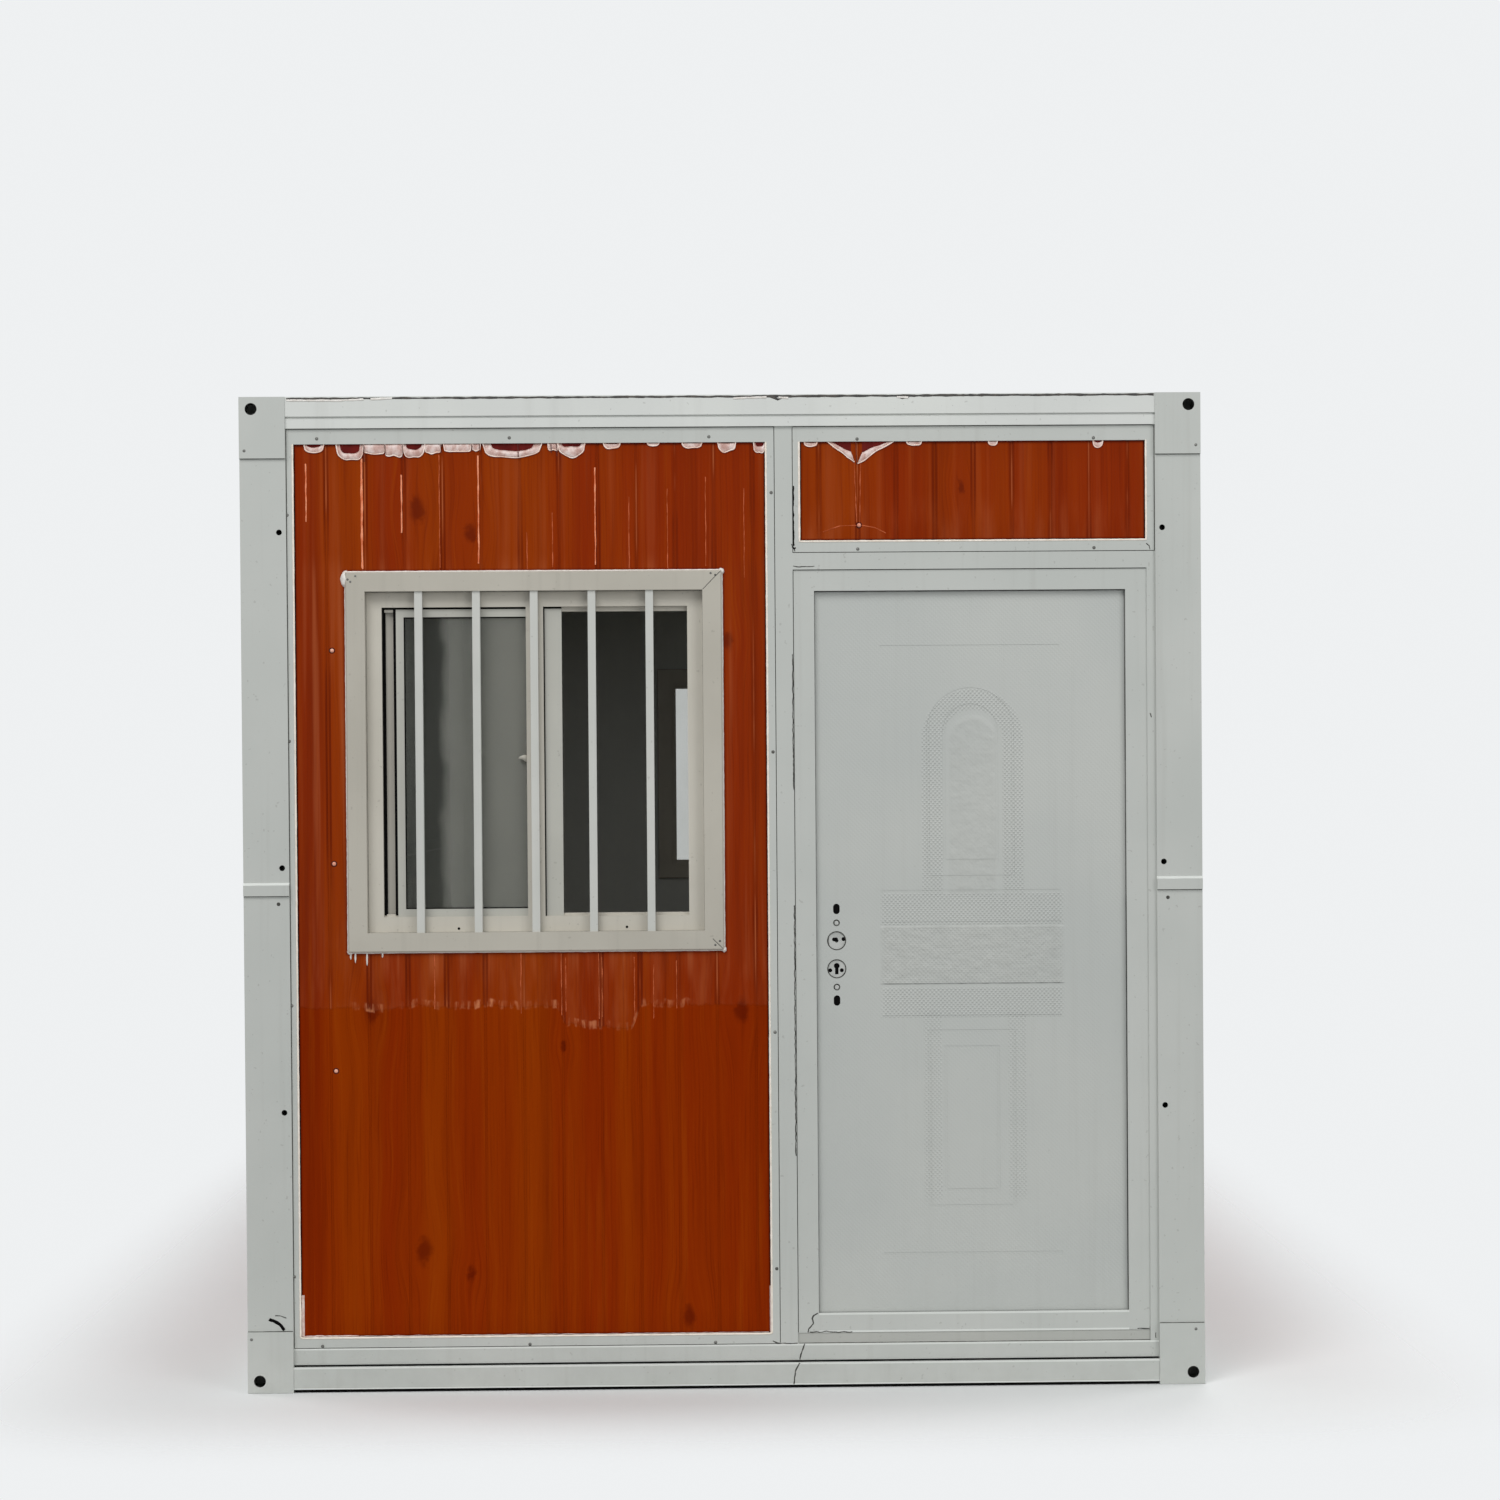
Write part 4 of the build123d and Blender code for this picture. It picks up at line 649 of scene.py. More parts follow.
rivetRings = {"radius": 0.0014, "round": 0.0068, "halfTurn": 8}
halfTurn = rivetRings["halfTurn"]
rings = [circle(x, z, rivetRings["round"], halfTurn, 0, 2 * halfTurn) for x, z in popRivets["at"]]
bead("rivetRings", [onWall(faces["panel"], ring) for ring in rings], rivetRings["radius"], ringBrown, "wood_panel",
     flatten=0.3, wander=0.001)

weepHoles = {"size": (0.007, 0.0004), "crown": 0.9, "at": [(-0.6886, 1.196), (-0.253, 1.197)]}
heads("weepHoles", onWall(faces["window"], weepHoles["at"]), weepHoles, holeBlack, "window_paint")

lockX, lockFace = 0.291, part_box("door_lock")[0].y
lockHoles = {
    "size": (0.0105, 0.0004), "crown": 0.9, "plugs": [(lockX, 1.2035), (lockX, 1.0365)],
    "at": [(0.309, 1.161), (0.2845, 1.1602), (0.2895, 1.1604), (0.274, 1.08), (0.304, 1.08)]}
heads("lockHoles", onWall(lockFace, lockHoles["at"]), lockHoles, holeBlack, "lock_metal", "door")
heads("lockPlugs", onWall(faces["leaf"], lockHoles["plugs"]), lockHoles, lockMetal, "lock_metal", "door")
print("front fixings set")


sideRivets = {"size": (0.012, 0.003), "crown": 0.6, "pitch": 0.4, "rows": (0.19, 1.25, 1.35, 2.38), "end": 2.6}
count = int(2 * sideRivets["end"] / sideRivets["pitch"]) + 1
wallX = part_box("side_wall_rails")[1].x
alongs = [-sideRivets["end"] + i * 2 * sideRivets["end"] / (count - 1) for i in range(count)]
for side, sign in (("left", -1), ("right", 1)):
    spots = [(sign * wallX, y, z) for y in alongs for z in sideRivets["rows"]]
    heads(side + "Rivets", spots, sideRivets, rivetAlloy, way=side)

roofScrews = {
    "size": (0.014, 0.005), "crown": 0.6, "across": (-0.96, -0.32, 0.32, 0.96), "pitch": 0.24, "sheet": 0.003,
    "margin": 0.1}
roofLow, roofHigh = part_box("roof_sheet")
reach = int((roofHigh.y - roofScrews["margin"]) / roofScrews["pitch"])
alongs = [i * roofScrews["pitch"] for i in range(-reach, reach + 1)]
spots = [(x, y, roofLow.z + roofScrews["sheet"]) for x in roofScrews["across"] for y in alongs]
heads("roofScrews", spots, roofScrews, screwZinc, way="up")

rearFaces = {"trim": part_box("rear_panel_channel")[1].y, "panel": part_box("rear_panel")[1].y}
rearScrews = {
    "rows": (2.463, 0.122), "across": (-1.04, -0.52, 0.0, 0.52, 1.04), "sideX": 1.111,
    "levels": (2.26, 1.68, 1.0, 0.3)}
places = [(x, z) for x in rearScrews["across"] for z in rearScrews["rows"]]
places += [(sign * rearScrews["sideX"], z) for sign in (-1, 1) for z in rearScrews["levels"]]
heads("rearScrews", onWall(rearFaces["trim"], places), trimScrews, screwZinc, way="rear")
print("side, roof and rear fixings set")


def lipLine(edges, inset):  # down one side of a channel's opening, along its foot and up the other
    left, right, low, high = edges
    return [(left + inset, high), (left + inset, low + inset), (right - inset, low + inset), (right - inset, high)]


sealantAndLipShading = {"rim": 0.0032, "lip": 0.0026, "inset": -0.0016, "forward": 0.0058, "gap": 0.0017, "gapShadeInset": 0.0014}
for label, face, node in (("rimSealant", faces["panel"], "window_rim"),
                          ("rearSealant", rearFaces["panel"], "rear_window_rim")):
    bead(label, [onWall(face, edgeLine(node))], sealantAndLipShading["rim"], sealantWhite, "window_paint",
         step=0.006, flatten=0.9, wander=0.0015, grain=38.0)
# lips: a pale bead along the lips' edges, a painted highlight
lips, gaps = ([onWall(faces["panel"] - forward, lipLine(edges, inset)) for edges in (wallEdges, transomEdges)]
              for forward, inset in ((sealantAndLipShading["forward"], sealantAndLipShading["inset"]), (0, sealantAndLipShading["gapShadeInset"])))
bead("lipSealant", lips, sealantAndLipShading["lip"], sealantCream, "white_frame", ragged=0.35, step=0.008, flatten=0.8,
     grain=30.0)
# gaps: a dark line where the wood meets the lips, the seam darkened with painted shade
bead("lipGaps", gaps, sealantAndLipShading["gap"], gapDark, "wood_panel", ragged=0.4, step=0.008, flatten=0.3, wander=0.0008,
     grain=20.0)

sealantLumps = {
    "corners": [
        (-0.970, 2.102, 0.015, 0.022, 0.0105), (-0.002, 2.117, 0.008, 0.008, 0.0095),
        (-0.001, 1.138, 0.006, 0.008, 0.009), (-0.968, 1.139, 0.008, 0.008, 0.009)],
    "drips": [(-0.967, 0.018), (-0.955, 0.026), (-0.925, 0.034), (-0.885, 0.014)], "dripWide": 0.0024,
    "dripTop": 1.1385, "dripLap": 0.002, "lumpy": 0.18, "grain": 2.3, "spread": 50}


def sealantLump(shape, x, z, wide, tall, proud):
    ball = bmesh.ops.create_icosphere(shape, subdivisions=3, radius=1.0)
    start = Vector((x * sealantLumps["spread"], 0, z * sealantLumps["spread"]))
    for vert in ball["verts"]:
        swell = 1 + sealantLumps["lumpy"] * noise.noise(vert.co * sealantLumps["grain"] + start)
        vert.co = Vector((x + vert.co.x * wide * swell, faces["panel"] + vert.co.y * proud * swell,
                          z + vert.co.z * tall * swell))


def keepShape(name, shape, finish, smooth=True, body="house"):
    bmesh.ops.recalc_face_normals(shape, faces=shape.faces)
    for face in shape.faces:
        face.smooth = smooth
    mesh = bpy.data.meshes.new(name)
    shape.to_mesh(mesh)
    shape.free()
    mesh.materials.append(finish)
    return keepPiece(name, mesh, body)


lumps = bmesh.new()
for lump in sealantLumps["corners"]:
    sealantLump(lumps, *lump)
wide = sealantLumps["dripWide"]
for x, drop in sealantLumps["drips"]:
    sealantLump(lumps, x, sealantLumps["dripTop"] - drop / 2, wide, drop / 2 + sealantLumps["dripLap"], wide)
keepShape("sealantLumps", lumps, sealantWhite)

rimMarks = {
    "size": (0.006, 0.001), "crown": 0.8, "line": 0.0009,
    "at": [
        (-0.965, 2.1), (-0.945, 2.109), (-0.958, 2.094), (-0.017, 2.106), (-0.029, 2.111), (-0.012, 1.16),
        (-0.024, 1.15)],
    "mitres": [[(-0.004, 2.116), (-0.05, 2.07)], [(-0.004, 1.14), (-0.03, 1.166)]]}
heads("rimScrews", onWall(faces["rim"], rimMarks["at"]), rimMarks, screwZinc)
bead("rimMitres", [onWall(faces["rim"], line) for line in rimMarks["mitres"]], rimMarks["line"], crackDark,
     "window_paint", ragged=0.7, flatten=0.3, wander=0.002)

crackLines = {
    "radius": 0.0014,
    "split": [
        ("jamb", [(0.2345, 0.1905), (0.2235, 0.184), (0.2195, 0.176), (0.2235, 0.165), (0.2185, 0.157),
                  (0.2115, 0.15), (0.209, 0.1412)]),
        ("rail", [(0.2005, 0.1118), (0.1975, 0.1044), (0.194, 0.093), (0.1905, 0.086), (0.1875, 0.0705)]),
        ("ledge", [(0.186, 0.064), (0.1777, 0.05), (0.1755, 0.037), (0.1725, 0.026), (0.171, 0.0095)])],
    "tears": [
        ("trim", [(0.1175, 0.121), (0.1293, 0.1145), (0.1553, 0.1132), (0.1812, 0.113)]),
        ("jamb", [(0.2126, 0.1425), (0.235, 0.1412), (0.256, 0.1432), (0.278, 0.1414), (0.325, 0.1418)]),
        ("trim", [(1.1135, 0.131), (1.113, 0.118)]), ("trim", [(0.184, 2.1275), (0.21, 2.1268), (0.24, 2.1272)]),
        ("jamb", [(1.066, 0.1425), (1.098, 0.142)]), ("trim", [(0.1812, 1.9), (0.1814, 1.55)]),
        ("trim", [(0.1812, 1.25), (0.181, 0.6)]), ("trim", [(0.18, 2.184), (0.186, 2.176), (0.189, 2.166)]),
        ("trim", [(1.1, 2.182), (1.1075, 2.176), (1.109, 2.166)]), ("trim", [(1.1085, 1.742), (1.1095, 1.731)])],
    "scuff": [("post", [(-1.1845, 0.1905), (-1.1705, 0.187), (-1.1575, 0.178), (-1.1445, 0.1625)])],
    "scuffShade": [("post", [(-1.1693, 0.2), (-1.155, 0.199), (-1.141, 0.1943)])],
    "gaps": [
        ("trim", [(0.1862, 2.335), (0.1858, 2.25), (0.1865, 2.18)]),
        ("trim", [(0.181, 2.178), (0.1865, 2.171), (0.19, 2.176)])]}
crackKinds = (("split", 1.2, 0.9, crackDark), ("tears", 0.9, 0.9, crackDark), ("scuff", 2.9, 0.3, holeBlack),
              ("scuffShade", 0.8, 0.5, crackDark), ("gaps", 1.3, 0.8, holeBlack))
for label, width, ragged, finish in crackKinds:
    cracks = [onWall(faces[face], spots) for face, spots in crackLines[label]]
    bead(label + "Lines", cracks, crackLines["radius"] * width, finish, "white_frame",
         ragged=ragged, flatten=0.35, wander=0.006)

lockRings = {
    "radius": 0.0013, "halfTurn": 16,
    "at": [
        (1.157, 0.0236, 0, 32), (1.157, 0.0225, 14, 18), (1.084, 0.0236, 0, 32), (1.2035, 0.0075, 0, 32),
        (1.0365, 0.0075, 0, 32)]}
rings = [circle(lockX, z, radius, lockRings["halfTurn"], first, last) for z, radius, first, last in lockRings["at"]]
bead("lockRings", [onWall(faces["leaf"], ring) for ring in rings], lockRings["radius"], crackDark, "lock_metal",
     "door", ragged=0.2, wander=0.0)

# dark lines in the joints; on the posts they are also painted shadow under the top corner blocks and the fold strips
jointGrime = {
    "radius": 0.0011, "groove": 0.0018, "inset": 0.001, "sill": [(0.186, 0.1408), (1.098, 0.1408)],
    "foot": [(0.186, 0.1126), (1.12, 0.1126)], "sillBack": 0.002, "blockX": (1.123, 1.239),
    "blockZ": (0.1587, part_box("fold_strips")[0].z - 0.0008, 2.4113)}
joints = [onWall(faces["trim"] + jointGrime["groove"], edgeLine(node, jointGrime["inset"]))
          for node in ("front_panel_channel", "transom_channel")]
doorJoint = edgeLine("door_jambs", jointGrime["inset"])
joints += [onWall(faces["jamb"] + jointGrime["groove"], [doorJoint[0], doorJoint[3], doorJoint[2]])]
joints += [onWall(faces["jamb"] + jointGrime["sillBack"], jointGrime[line]) for line in ("sill", "foot")]
joints += [onWall(faces["post"], [(sign * x, z) for x in jointGrime["blockX"]]) for sign in (-1, 1)
           for z in jointGrime["blockZ"]]
bead("jointGrime", joints, jointGrime["radius"], crackDark, "white_frame", ragged=0.6, step=0.008, flatten=0.5,
     grain=22.0)

ledgeShadow = {"radius": 0.0017, "back": 0.009, "line": [(-1.12, 0.0675), (1.12, 0.0675)]}
bead("ledgeShadow", [onWall(faces["ledge"] + ledgeShadow["back"], ledgeShadow["line"])], ledgeShadow["radius"],
     holeBlack, "white_frame", step=0.01, flatten=0.5, wander=0.0003, grain=16.0)

jambCaulk = {"radius": 0.0026, "back": 0.0003, "span": (0.146, 2.126)}
caulkLine = [(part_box("door_jambs")[1].x, z) for z in jambCaulk["span"]]
bead("jambCaulk", [onWall(faces["jamb"] + jambCaulk["back"], caulkLine)], jambCaulk["radius"], framePaint,
     "white_frame", ragged=0.15, step=0.01, flatten=0.25, wander=0.0004, grain=14.0)

doorSeal = {
    "opening": (0.238, 1.045, 0.19, 2.064), "forward": 0.0025, "top": 0.0023, "right": 0.0017, "left": 0.0014,
    "foot": 0.0007}
sealLines = fourSides(*doorSeal["opening"])
for label in ("top", "right", "left", "foot"):
    bead(label + "DoorSeal", [onWall(faces["leaf"] - doorSeal["forward"], sealLines[label])], doorSeal[label],
         gasketBlack, "white_frame", step=0.01, flatten=0.9, wander=0.0005, grain=20.0)

sealShade = {"radius": 0.0013, "forward": 0.0046, "inset": 0.0004, "spans": [(1.86, 1.62), (1.27, 0.24)]}
shadeX = doorSeal["opening"][1] - sealShade["inset"]
shades = [onWall(faces["leaf"] - sealShade["forward"], [(shadeX, z) for z in span]) for span in sealShade["spans"]]
bead("sealShade", shades, sealShade["radius"], holeBlack, "white_frame", ragged=0.6, step=0.008, flatten=0.8,
     wander=0.0005, grain=12.0)

# dark lines where the window frame meets the rim, widest at the top: the joint, and painted shadow under the rim
frameGapShade = {"inner": (-0.922, -0.051, 1.187, 2.069), "top": 0.0012, "left": 0.0008, "right": 0.0005, "foot": 0.0004}
gapLines = fourSides(*frameGapShade["inner"])
for label in ("top", "left", "right", "foot"):
    bead(label + "FrameGap", [onWall(faces["window"], gapLines[label])], frameGapShade[label], crackDark, "window_paint",
         ragged=0.4, step=0.01, flatten=0.8, wander=0.0004, grain=20.0)

sideJoints = {
    "radius": 0.0009, "levels": (0.158, 2.412), "posts": (-2.782, 2.782), "spans": ((0.16, 1.284), (1.32, 2.41))}
for side, sign in (("left", -1), ("right", 1)):
    ends = [[(sign * wallX, y, z) for y in sideJoints["posts"]] for z in sideJoints["levels"]]
    ends += [[(sign * wallX, y, z) for z in span] for y in sideJoints["posts"] for span in sideJoints["spans"]]
    bead(side + "Joints", ends, sideJoints["radius"], crackDark, "white_frame", ragged=0.6, step=0.02, flatten=1.0,
         grain=9.0)

roofTape = {
    "weak": [[(-1.118, 2.5652), (0.06, 2.5652)]], "weakWide": 0.0025,
    "strong": [
        [(0.055, 2.5652), (1.12, 2.5652)], [(0.128, 2.5655), (0.147, 2.557), (0.16, 2.562)],
        [(0.452, 2.5655), (0.468, 2.558), (0.486, 2.563)]],
    "strongWide": 0.0028,
    "scraps": [
        [(-1.065, 2.5605), (-0.99, 2.5595), (-0.919, 2.5625)], [(-0.9016, 2.5635), (-0.8456, 2.565)],
        [(0.033, 2.5605), (0.119, 2.563)], [(0.149, 2.562), (0.1747, 2.5605)], [(0.4545, 2.5615), (0.4847, 2.56)],
        [(-1.118, 2.5615), (-1.066, 2.56)]],
    "scrapWide": 0.0026, "scrapForward": 0.0006}
scraps = [onWall(faces["beam"] - roofTape["scrapForward"], scrap) for scrap in roofTape["scraps"]]
bead("tapeScraps", scraps, roofTape["scrapWide"], sealantWhite, "white_frame",
     ragged=0.8, step=0.005, flatten=0.25, wander=0.003, grain=26.0)
for label in ("weak", "strong"):
    bead(label + "Tape", [onWall(faces["beam"], line) for line in roofTape[label]], roofTape[label + "Wide"],
         tapeDark, "white_frame", ragged=0.95, step=0.006, flatten=0.25, wander=0.004, grain=26.0)
print("sealant, cracks and tape laid")


def plates(name, boxes, finish, body="house", ease=0.0004):  # thin strips, from (x, x, y, y, z, z)
    shape = bmesh.new()
    for x0, x1, y0, y1, z0, z1 in boxes:
        size = Matrix.Diagonal((x1 - x0, y1 - y0, z1 - z0, 1))
        middle = Matrix.Translation(((x0 + x1) / 2, (y0 + y1) / 2, (z0 + z1) / 2))
        bmesh.ops.create_cube(shape, size=1, matrix=middle @ size)
    bmesh.ops.bevel(shape, geom=shape.edges[:], offset=ease, segments=1, affect="EDGES")
    return keepShape(name, shape, finish, False, body)


lockBacks = {  # the dark behind the door's openings
    "slots": (1.2395, 1.0015), "slotHalf": (0.011, 0.016), "keyhole": 1.084, "keyHalf": (0.012, 0.019),
    "depth": 0.0025, "thick": 0.0015}
spots = [(z, lockBacks["slotHalf"], faces["leaf"]) for z in lockBacks["slots"]]
spots += [(lockBacks["keyhole"], lockBacks["keyHalf"], lockFace)]
backs = []
for z, (halfX, halfZ), face in spots:
    behind = face + lockBacks["depth"]
    backs.append((lockX - halfX, lockX + halfX, behind, behind + lockBacks["thick"], z - halfZ, z + halfZ))
plates("lockBacks", backs, holeBlack, "door")

baseShade = {"x": (-1.119, 1.119), "depth": (0.004, 0.012), "z": (0.0008, 0.0079)}  # a black plate under the base beam: painted shade
baseShadeY = [faces["ledge"] + deep for deep in baseShade["depth"]]
plates("baseShade", [(*baseShade["x"], *baseShadeY, *baseShade["z"])], holeBlack)


outerLow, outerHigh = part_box("outer_sash")
innerLow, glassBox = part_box("inner_sash")[0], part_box("window_glass")
sashSeals = {
    "clear": (-0.882, 1.227, 2.029), "brush": 0.0072, "slit": 0.006, "upright": -0.464, "strip": 0.003, "rail": 0.02,
    "stile": 0.05, "lap": 0.0008, "end": 0.004, "topEnd": 0.0001, "front": 0.002, "besideY": (-0.012, 0.008),
    "lapY": (-0.004, -0.001), "slitY": (0.003, 0.0048), "overY": (0.0031, 0.0049), "paneY": (-0.002, 0.0)}
clearLeft, clearLow, clearHigh = sashSeals["clear"]
paneLeft, paneRight = outerLow.x + sashSeals["rail"], outerHigh.x - sashSeals["stile"]
paneLow, paneHigh = glassBox[0].z, glassBox[1].z
strip, slitX, sealFoot = sashSeals["strip"], clearLeft + sashSeals["slit"], clearLow + sashSeals["end"]
starts = {"besideY": innerLow.y, "lapY": innerLow.y, "slitY": outerLow.y, "overY": outerLow.y, "paneY": glassBox[0].y}
deep = {label: [start + offset for offset in sashSeals[label]] for label, start in starts.items()}
plates("sashSeals", [
    (clearLeft, innerLow.x, *deep["besideY"], clearLow, clearHigh),  # beside the inner sash
    (clearLeft, innerLow.x + sashSeals["lap"], *deep["lapY"], sealFoot, clearHigh - sashSeals["end"]),
    (outerLow.x - sashSeals["brush"], outerLow.x, deep["slitY"][0], innerLow.y, sealFoot, clearHigh),
    (clearLeft, slitX, *deep["slitY"], sealFoot, clearHigh),  # in front of it, up to the top
    (sashSeals["upright"], sashSeals["upright"] + strip, faces["window"] + sashSeals["front"], outerLow.y, clearLow,
     clearHigh),
    (slitX, outerHigh.x, *deep["overY"], outerHigh.z, clearHigh - sashSeals["topEnd"]),  # over the top rail
    (paneLeft, paneLeft + strip, *deep["paneY"], paneLow, paneHigh),
    (paneRight - strip, paneRight, *deep["paneY"], paneLow, paneHigh),
    (paneLeft + strip, paneRight - strip, *deep["paneY"], paneHigh - strip, paneHigh),
    (paneLeft + strip, paneRight - strip, *deep["paneY"], paneLow, paneLow + strip),
], holeBlack)

windowPull = {
    "side": [
        (-0.509, 1.627), (-0.509, 1.645), (-0.516, 1.6455), (-0.525, 1.6425), (-0.531, 1.638), (-0.5295, 1.6345),
        (-0.52, 1.634), (-0.516, 1.629)],
    "thick": 0.007, "ease": 0.0012}
pull = bmesh.new()
front = pull.faces.new([pull.verts.new(spot) for spot in onWall(faces["window"], windowPull["side"])])
grown = bmesh.ops.extrude_face_region(pull, geom=[front])
for vert in [part for part in grown["geom"] if isinstance(part, bmesh.types.BMVert)]:
    vert.co.y += windowPull["thick"]
bmesh.ops.bevel(pull, geom=pull.edges[:], offset=windowPull["ease"], segments=2, affect="EDGES")
keepShape("windowPull", pull, windowPaint)
print("sash seals and pull fitted")


filmCurls = {
    "steps": 20, "across": 5, "bulge": 0.005, "fullDrop": 0.03, "off": 0.0008, "arc": (0.12, 0.76), "thick": 0.0005,
    "margin": 0.13, "square": 2.6, "sheetSquare": 7, "edge": 0.0016, "edgeForward": 0.0024, "hollowDepth": 0.0006,
    "openHollow": 0.25, "edgeRipple": (0.22, 40, 2.5, 0), "holeRipple": (0.3, 70, 2, 3), "merge": 1e-5,
    "scallops": [
        (-1.0751, -1.0243, 0.021, 0.35), (-0.9926, -0.9215, 0.04, 0.62), (-0.9215, -0.8668, 0.025, 0),
        (-0.8668, -0.8215, 0.031, 0), (-0.8205, -0.764, 0.035, 0.42), (-0.764, -0.7227, 0.023, 0),
        (-0.7163, -0.6435, 0.02, 0), (-0.643, -0.6211, 0.017, 0), (-0.6147, -0.4624, 0.036, 0.55),
        (-0.4465, -0.4215, 0.018, 0), (-0.4211, -0.3513, 0.034, 0.3), (-0.3038, -0.2601, 0.014, 0.2),
        (-0.1907, -0.1599, 0.008, 0.2), (-0.1007, -0.0493, 0.014, 0.1), (-0.0082, 0.0381, 0.024, 0.1),
        (0.0844, 0.1152, 0.028, 0.4), (0.215, 0.249, 0.012, 0.2), (0.48, 0.519, 0.01, 0.1),
        (0.692, 0.7155, 0.011, 0.1), (0.9637, 0.9888, 0.018, 0.3)],
    "flaps": [(0.2757, 0.345, 0.054, 0.5, 1), (0.353, 0.4464, 0.056, 0.5, -1)],  # these hang lowest at one end
    "folds": [
        (-0.9208, 0.046), (-0.8668, 0.026), (-0.8211, 0.038), (-0.7227, 0.024), (-0.6433, 0.02), (-0.623, 0.022),
        (-0.524, 0.036), (-0.4389, 0.026), (-0.4243, 0.034), (0.349, 0.06)],
    "foldWide": 0.0009, "foldForward": 0.0064, "foldTop": 0.002, "foldLean": 0.001}
curlEdges, curlHollows = [], bmesh.new()


def ripple(kind, left, t):
    share, spread, pace, start = filmCurls[kind]
    return 1 + share * noise.noise(Vector((left * spread + t * pace, start, 0)))


def filmCurl(shape, left, right, drop, hollow, lean=0):  # a torn edge of film that stands off the wall
    margin, top = filmCurls["margin"] * (right - left) * (hollow > 0), wallEdges[3]
    square = filmCurls["square" if hollow else "sheetSquare"]
    rise, span = filmCurls["arc"]
    rows, edge, hole = [], [], []
    for i in range(filmCurls["steps"] + 1):
        t = i / filmCurls["steps"]
        if lean:
            sag = t if lean > 0 else 1 - t
        else:
            sag = (1 - abs(2 * t - 1) ** square) ** (1 / square)
        low = (left + (right - left) * t, top - drop * sag * ripple("edgeRipple", left, t))
        sunk = drop * hollow * sag * ripple("holeRipple", left, t)
        high = (left + margin + (right - left - 2 * margin) * t, top - sunk)
        edge.append(low)
        hole.append(high)
        lift = filmCurls["bulge"] * min(1, drop / filmCurls["fullDrop"]) * sag ** 0.5
        row = []
        for j in range(filmCurls["across"] + 1):
            s = j / filmCurls["across"]
            away = filmCurls["off"] + lift * math.sin(math.pi * (rise + span * s))
            row.append(shape.verts.new((high[0] + (low[0] - high[0]) * s, faces["panel"] - away,
                                        high[1] + (low[1] - high[1]) * s)))
        rows.append(row)
    for one, two in zip(rows, rows[1:]):
        for j in range(filmCurls["across"]):
            shape.faces.new((one[j], two[j], two[j + 1], one[j + 1]))
    curlEdges.append(onWall(faces["panel"] - filmCurls["edgeForward"], edge))
    if hollow > filmCurls["openHollow"]:  # the wood is darker where the film hangs off it
        for one, two in zip(hole, hole[1:]):
            spots = onWall(faces["panel"] - filmCurls["hollowDepth"], [(one[0], top), (two[0], top), two, one])
            curlHollows.faces.new([curlHollows.verts.new(spot) for spot in spots])


curls = bmesh.new()
for scallop in filmCurls["scallops"] + filmCurls["flaps"]:
    filmCurl(curls, *scallop)
bmesh.ops.recalc_face_normals(curls, faces=curls.faces)
bmesh.ops.solidify(curls, geom=curls.faces[:], thickness=filmCurls["thick"])
keepShape("filmCurls", curls, milkyFilm)
bmesh.ops.remove_doubles(curlHollows, verts=curlHollows.verts[:], dist=filmCurls["merge"])
bmesh.ops.dissolve_degenerate(curlHollows, edges=curlHollows.edges[:], dist=filmCurls["merge"])
keepShape("filmHollows", curlHollows, filmWine)
foldTop = wallEdges[3] - filmCurls["foldTop"]
folds = [[(x, foldTop), (x + filmCurls["foldLean"], wallEdges[3] - drop)] for x, drop in filmCurls["folds"]]
foldLines = [onWall(faces["panel"] - filmCurls["foldForward"], fold) for fold in folds]
for label, lines, width, finish in (("filmEdges", curlEdges, filmCurls["edge"], filmEdge),
                                    ("filmFolds", foldLines, filmCurls["foldWide"], foldShade)):
    bead(label, lines, width, finish, "wood_panel", ragged=0.5, wander=0.0008, grain=30.0)

filmLines = {
    "glint": [
        (-0.9275, 2.412, 2.127), (-0.9265, 2.36, 2.2), (-0.929, 2.41, 2.13), (-0.8255, 2.37, 2.22),
        (-0.6275, 2.418, 2.14), (-0.3265, 2.385, 2.135), (-1.0715, 2.4, 2.25)],
    "glintWide": 0.0017,
    "faint": [
        (-0.728, 2.42, 2.13), (-0.503, 2.22, 2.125), (-0.437, 2.27, 2.13), (-0.239, 2.31, 2.125),
        (-0.14, 2.33, 2.125), (-0.041, 2.36, 2.13), (0.058, 2.33, 2.1), (-0.751, 1.13, 0.99), (-0.528, 1.13, 0.975),
        (-0.423, 1.13, 0.97), (-0.412, 1.12, 0.98), (-0.326, 1.13, 0.96), (-0.318, 1.12, 0.965), (-0.234, 1.12, 0.95),
        (-0.185, 1.1, 0.96), (-0.125, 1.11, 0.985)],
    "faintWide": 0.0011,
    "slanted": [
        [(0.345, 2.4), (0.35, 2.24)], [(0.361, 2.4), (0.358, 2.24)], [(0.35, 2.233), (0.305, 2.232), (0.262, 2.216)],
        [(0.363, 2.233), (0.4, 2.226), (0.425, 2.212)]]}
# glint and faint lines: painted glints along the ribs and at the film's torn edge; slanted lines: creases in the film
glints, faints = ([[(x, high), (x, low)] for x, high, low in filmLines[kind]] for kind in ("glint", "faint"))
faints += filmLines["slanted"]
for label, lines, width, finish in (("filmGlints", glints, filmLines["glintWide"], creaseGlint),
                                    ("filmCreases", faints, filmLines["faintWide"], creaseFaint)):
    bead(label, [onWall(faces["panel"], line) for line in lines], width, finish, "wood_panel",
         ragged=0.95, step=0.006, flatten=0.5, wander=0.004, grain=24.0)

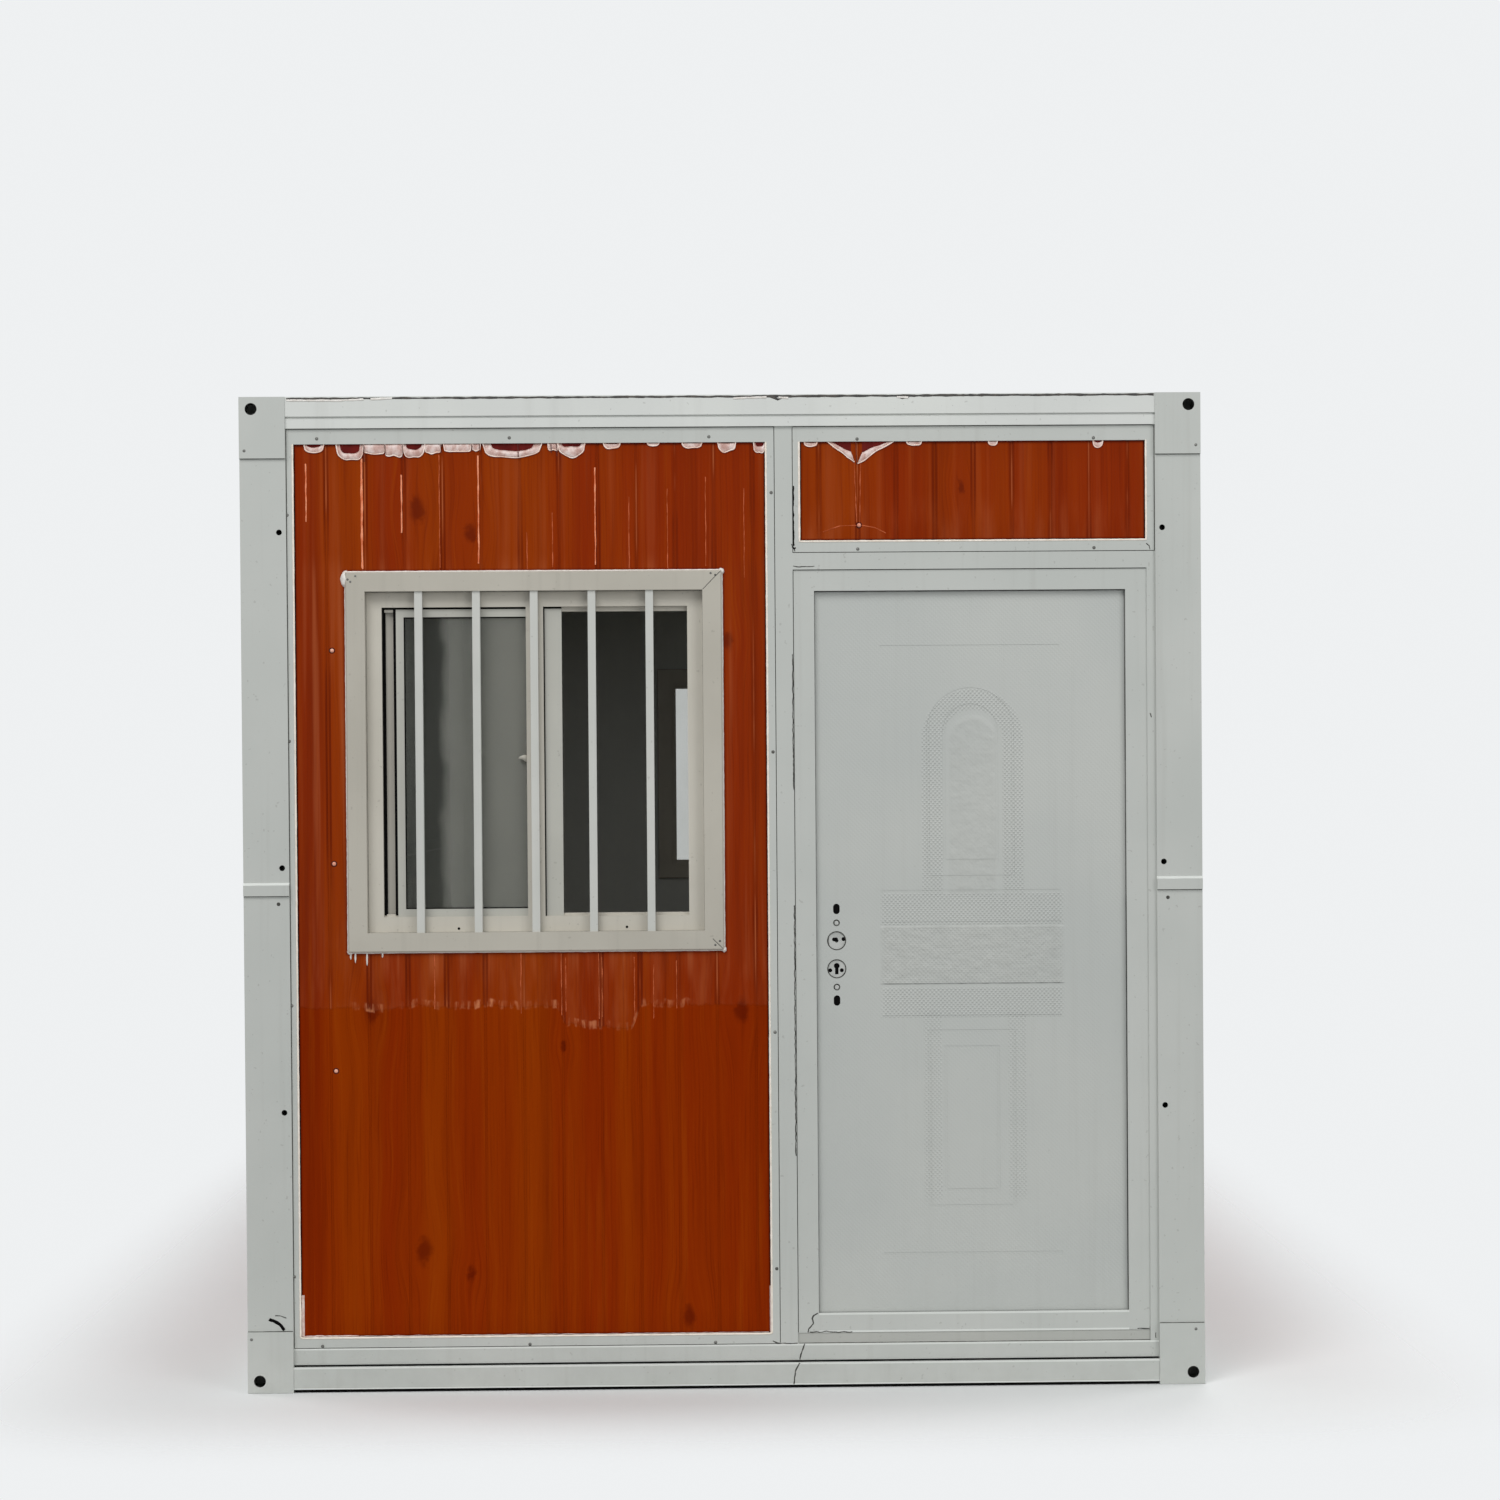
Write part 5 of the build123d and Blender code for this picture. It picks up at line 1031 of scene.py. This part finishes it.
footFilm = {
    "strips": [(-1.1022, -1.0945, 0.143, 0.25), (0.1105, 0.1182, 0.142, 0.264)], "proud": 0.0014, "forward": 0.001,
    "tear": [(-1.098, 0.1435), (-0.955, 0.1432)], "tearWide": 0.0018, "thread": [(-0.955, 0.1428), (0.108, 0.1428)],
    "threadWide": 0.0008}
filmY = (faces["panel"] - footFilm["proud"], faces["panel"])
strips = [(x0, x1, *filmY, z0, z1) for x0, x1, z0, z1 in footFilm["strips"]]
plates("footStrips", strips, filmWhite)
for label in ("tear", "thread"):
    tear = onWall(faces["panel"] - footFilm["forward"], footFilm[label])
    bead("foot" + label.capitalize(), [tear], footFilm[label + "Wide"], filmWhite, "wood_panel",
         ragged=0.9, step=0.005, wander=0.004, grain=40.0)
print("torn film laid")


stage = {
    "radius": 6.6, "level": -0.0006, "solid": 0.12, "fade": 0.95, "half": (1.24, 2.9), "floor": srgb(226, 227, 226),
    "floorShade": srgb(222, 223, 223), "dome": (0.95, 0.98, 1.0, 1.0), "domeGlow": 0.38,
    "sky": (0.86, 0.875, 0.885, 1.0)}


def studioFloor():
    f = Finish("studioFloor")
    outward = [abs(place) - half for place, half in zip((f.x, f.y), stage["half"])]
    outward = [past.calc("MAXIMUM", past, 0.0) for past in outward]
    away = f.node("ShaderNodeVectorMath", {"operation": "LENGTH"}, {0: f.vector(*outward, 0)}, "Value")
    shade = f.blend(f.noise(f.place, 1.5, 3), stage["floor"], stage["floorShade"])
    return f.surface({"Base Color": shade, "Roughness": 0.85, "Alpha": f.step(away, stage["fade"], stage["solid"])})


corners = [(x * stage["radius"], y * stage["radius"], stage["level"])
           for x, y in ((-1, -1), (1, -1), (1, 1), (-1, 1))]
floorMesh = bareMesh("studioFloor", corners, (), [(0, 1, 2, 3)])
floorMesh.materials.append(studioFloor())
studioGround = bpy.data.objects.new("studioGround", floorMesh)
scene.collection.objects.link(studioGround)

world = bpy.data.worlds.new("studioSky")
scene.world = world
world.use_nodes = True
sky = Tree(world.node_tree)
sky.tree.nodes.clear()
rays = sky.node("ShaderNodeLightPath")
seenRays = ("Is Camera Ray", "Is Glossy Ray", "Is Transmission Ray")
seen = sum(wire for wire in sky.outputs(rays) if wire.socket.name in seenRays)
backdrop = sky.node("ShaderNodeBackground", put={"Color": stage["sky"], "Strength": 1.0})
dome = sky.node("ShaderNodeBackground", put={"Color": stage["dome"], "Strength": stage["domeGlow"]})
skyEnd = sky.tree.nodes.new("ShaderNodeOutputWorld")
mixed = sky.node("ShaderNodeMixShader", put={0: seen.calc("MINIMUM", seen, 1.0), 1: dome, 2: backdrop})
sky.tree.links.new(mixed.socket, skyEnd.inputs[0])

lamps = [
    ("keyLamp", (-3.0, -9.8, 9.5), (0, -2.9, 1.2), 6.0, 592),
    ("fillLamp", (6.0, -11.0, 4.5), (0, -2.9, 1.2), 6.0, 250),
    ("rearLamp", (4.0, 11.0, 8.0), (0, 2.9, 1.2), 7.0, 560),
    ("leftLamp", (-9.0, 1.0, 7.0), (-1.5, 0, 0.6), 6.0, 330),
    ("rightLamp", (9.0, 1.0, 7.0), (1.5, 0, 0.6), 6.0, 330),
    ("roomLamp", (0, 0.4, 2.35), (0, 0.4, 0), 1.6, 5)]
for name, spot, aim, size, power in lamps:
    lamp = bpy.data.lights.new(name, "AREA")
    lamp.shape, lamp.size, lamp.energy = "DISK", size, power
    holder = bpy.data.objects.new(name, lamp)
    holder.location = spot
    holder.rotation_euler = (Vector(aim) - Vector(spot)).to_track_quat("-Z", "Y").to_euler()
    holder.visible_camera = False
    scene.collection.objects.link(holder)

view = {
    "at": (-0.0324, -10.9, 1.545), "yaw": -0.01654, "pitch": -0.0145, "roll": -0.00728, "lens": 74.323,
    "shift": (-0.00835, 0.05782)}
ahead = Vector((-math.sin(view["yaw"]) * math.cos(view["pitch"]), math.cos(view["yaw"]) * math.cos(view["pitch"]),
                math.sin(view["pitch"])))
level = Vector((math.cos(view["yaw"]), math.sin(view["yaw"]), 0))
upward = level.cross(ahead)
across = level * math.cos(view["roll"]) + upward * math.sin(view["roll"])
crown = upward * math.cos(view["roll"]) - level * math.sin(view["roll"])
lens = bpy.data.cameras.new("photoCamera")
lens.lens, lens.sensor_width = view["lens"], 36.0
lens.shift_x, lens.shift_y = view["shift"]
photoCamera = bpy.data.objects.new("photoCamera", lens)
photoCamera.matrix_world = Matrix.Translation(view["at"]) @ Matrix((across, crown, -ahead)).transposed().to_4x4()
scene.collection.objects.link(photoCamera)
scene.camera = photoCamera
scene.view_settings.view_transform = "Standard"
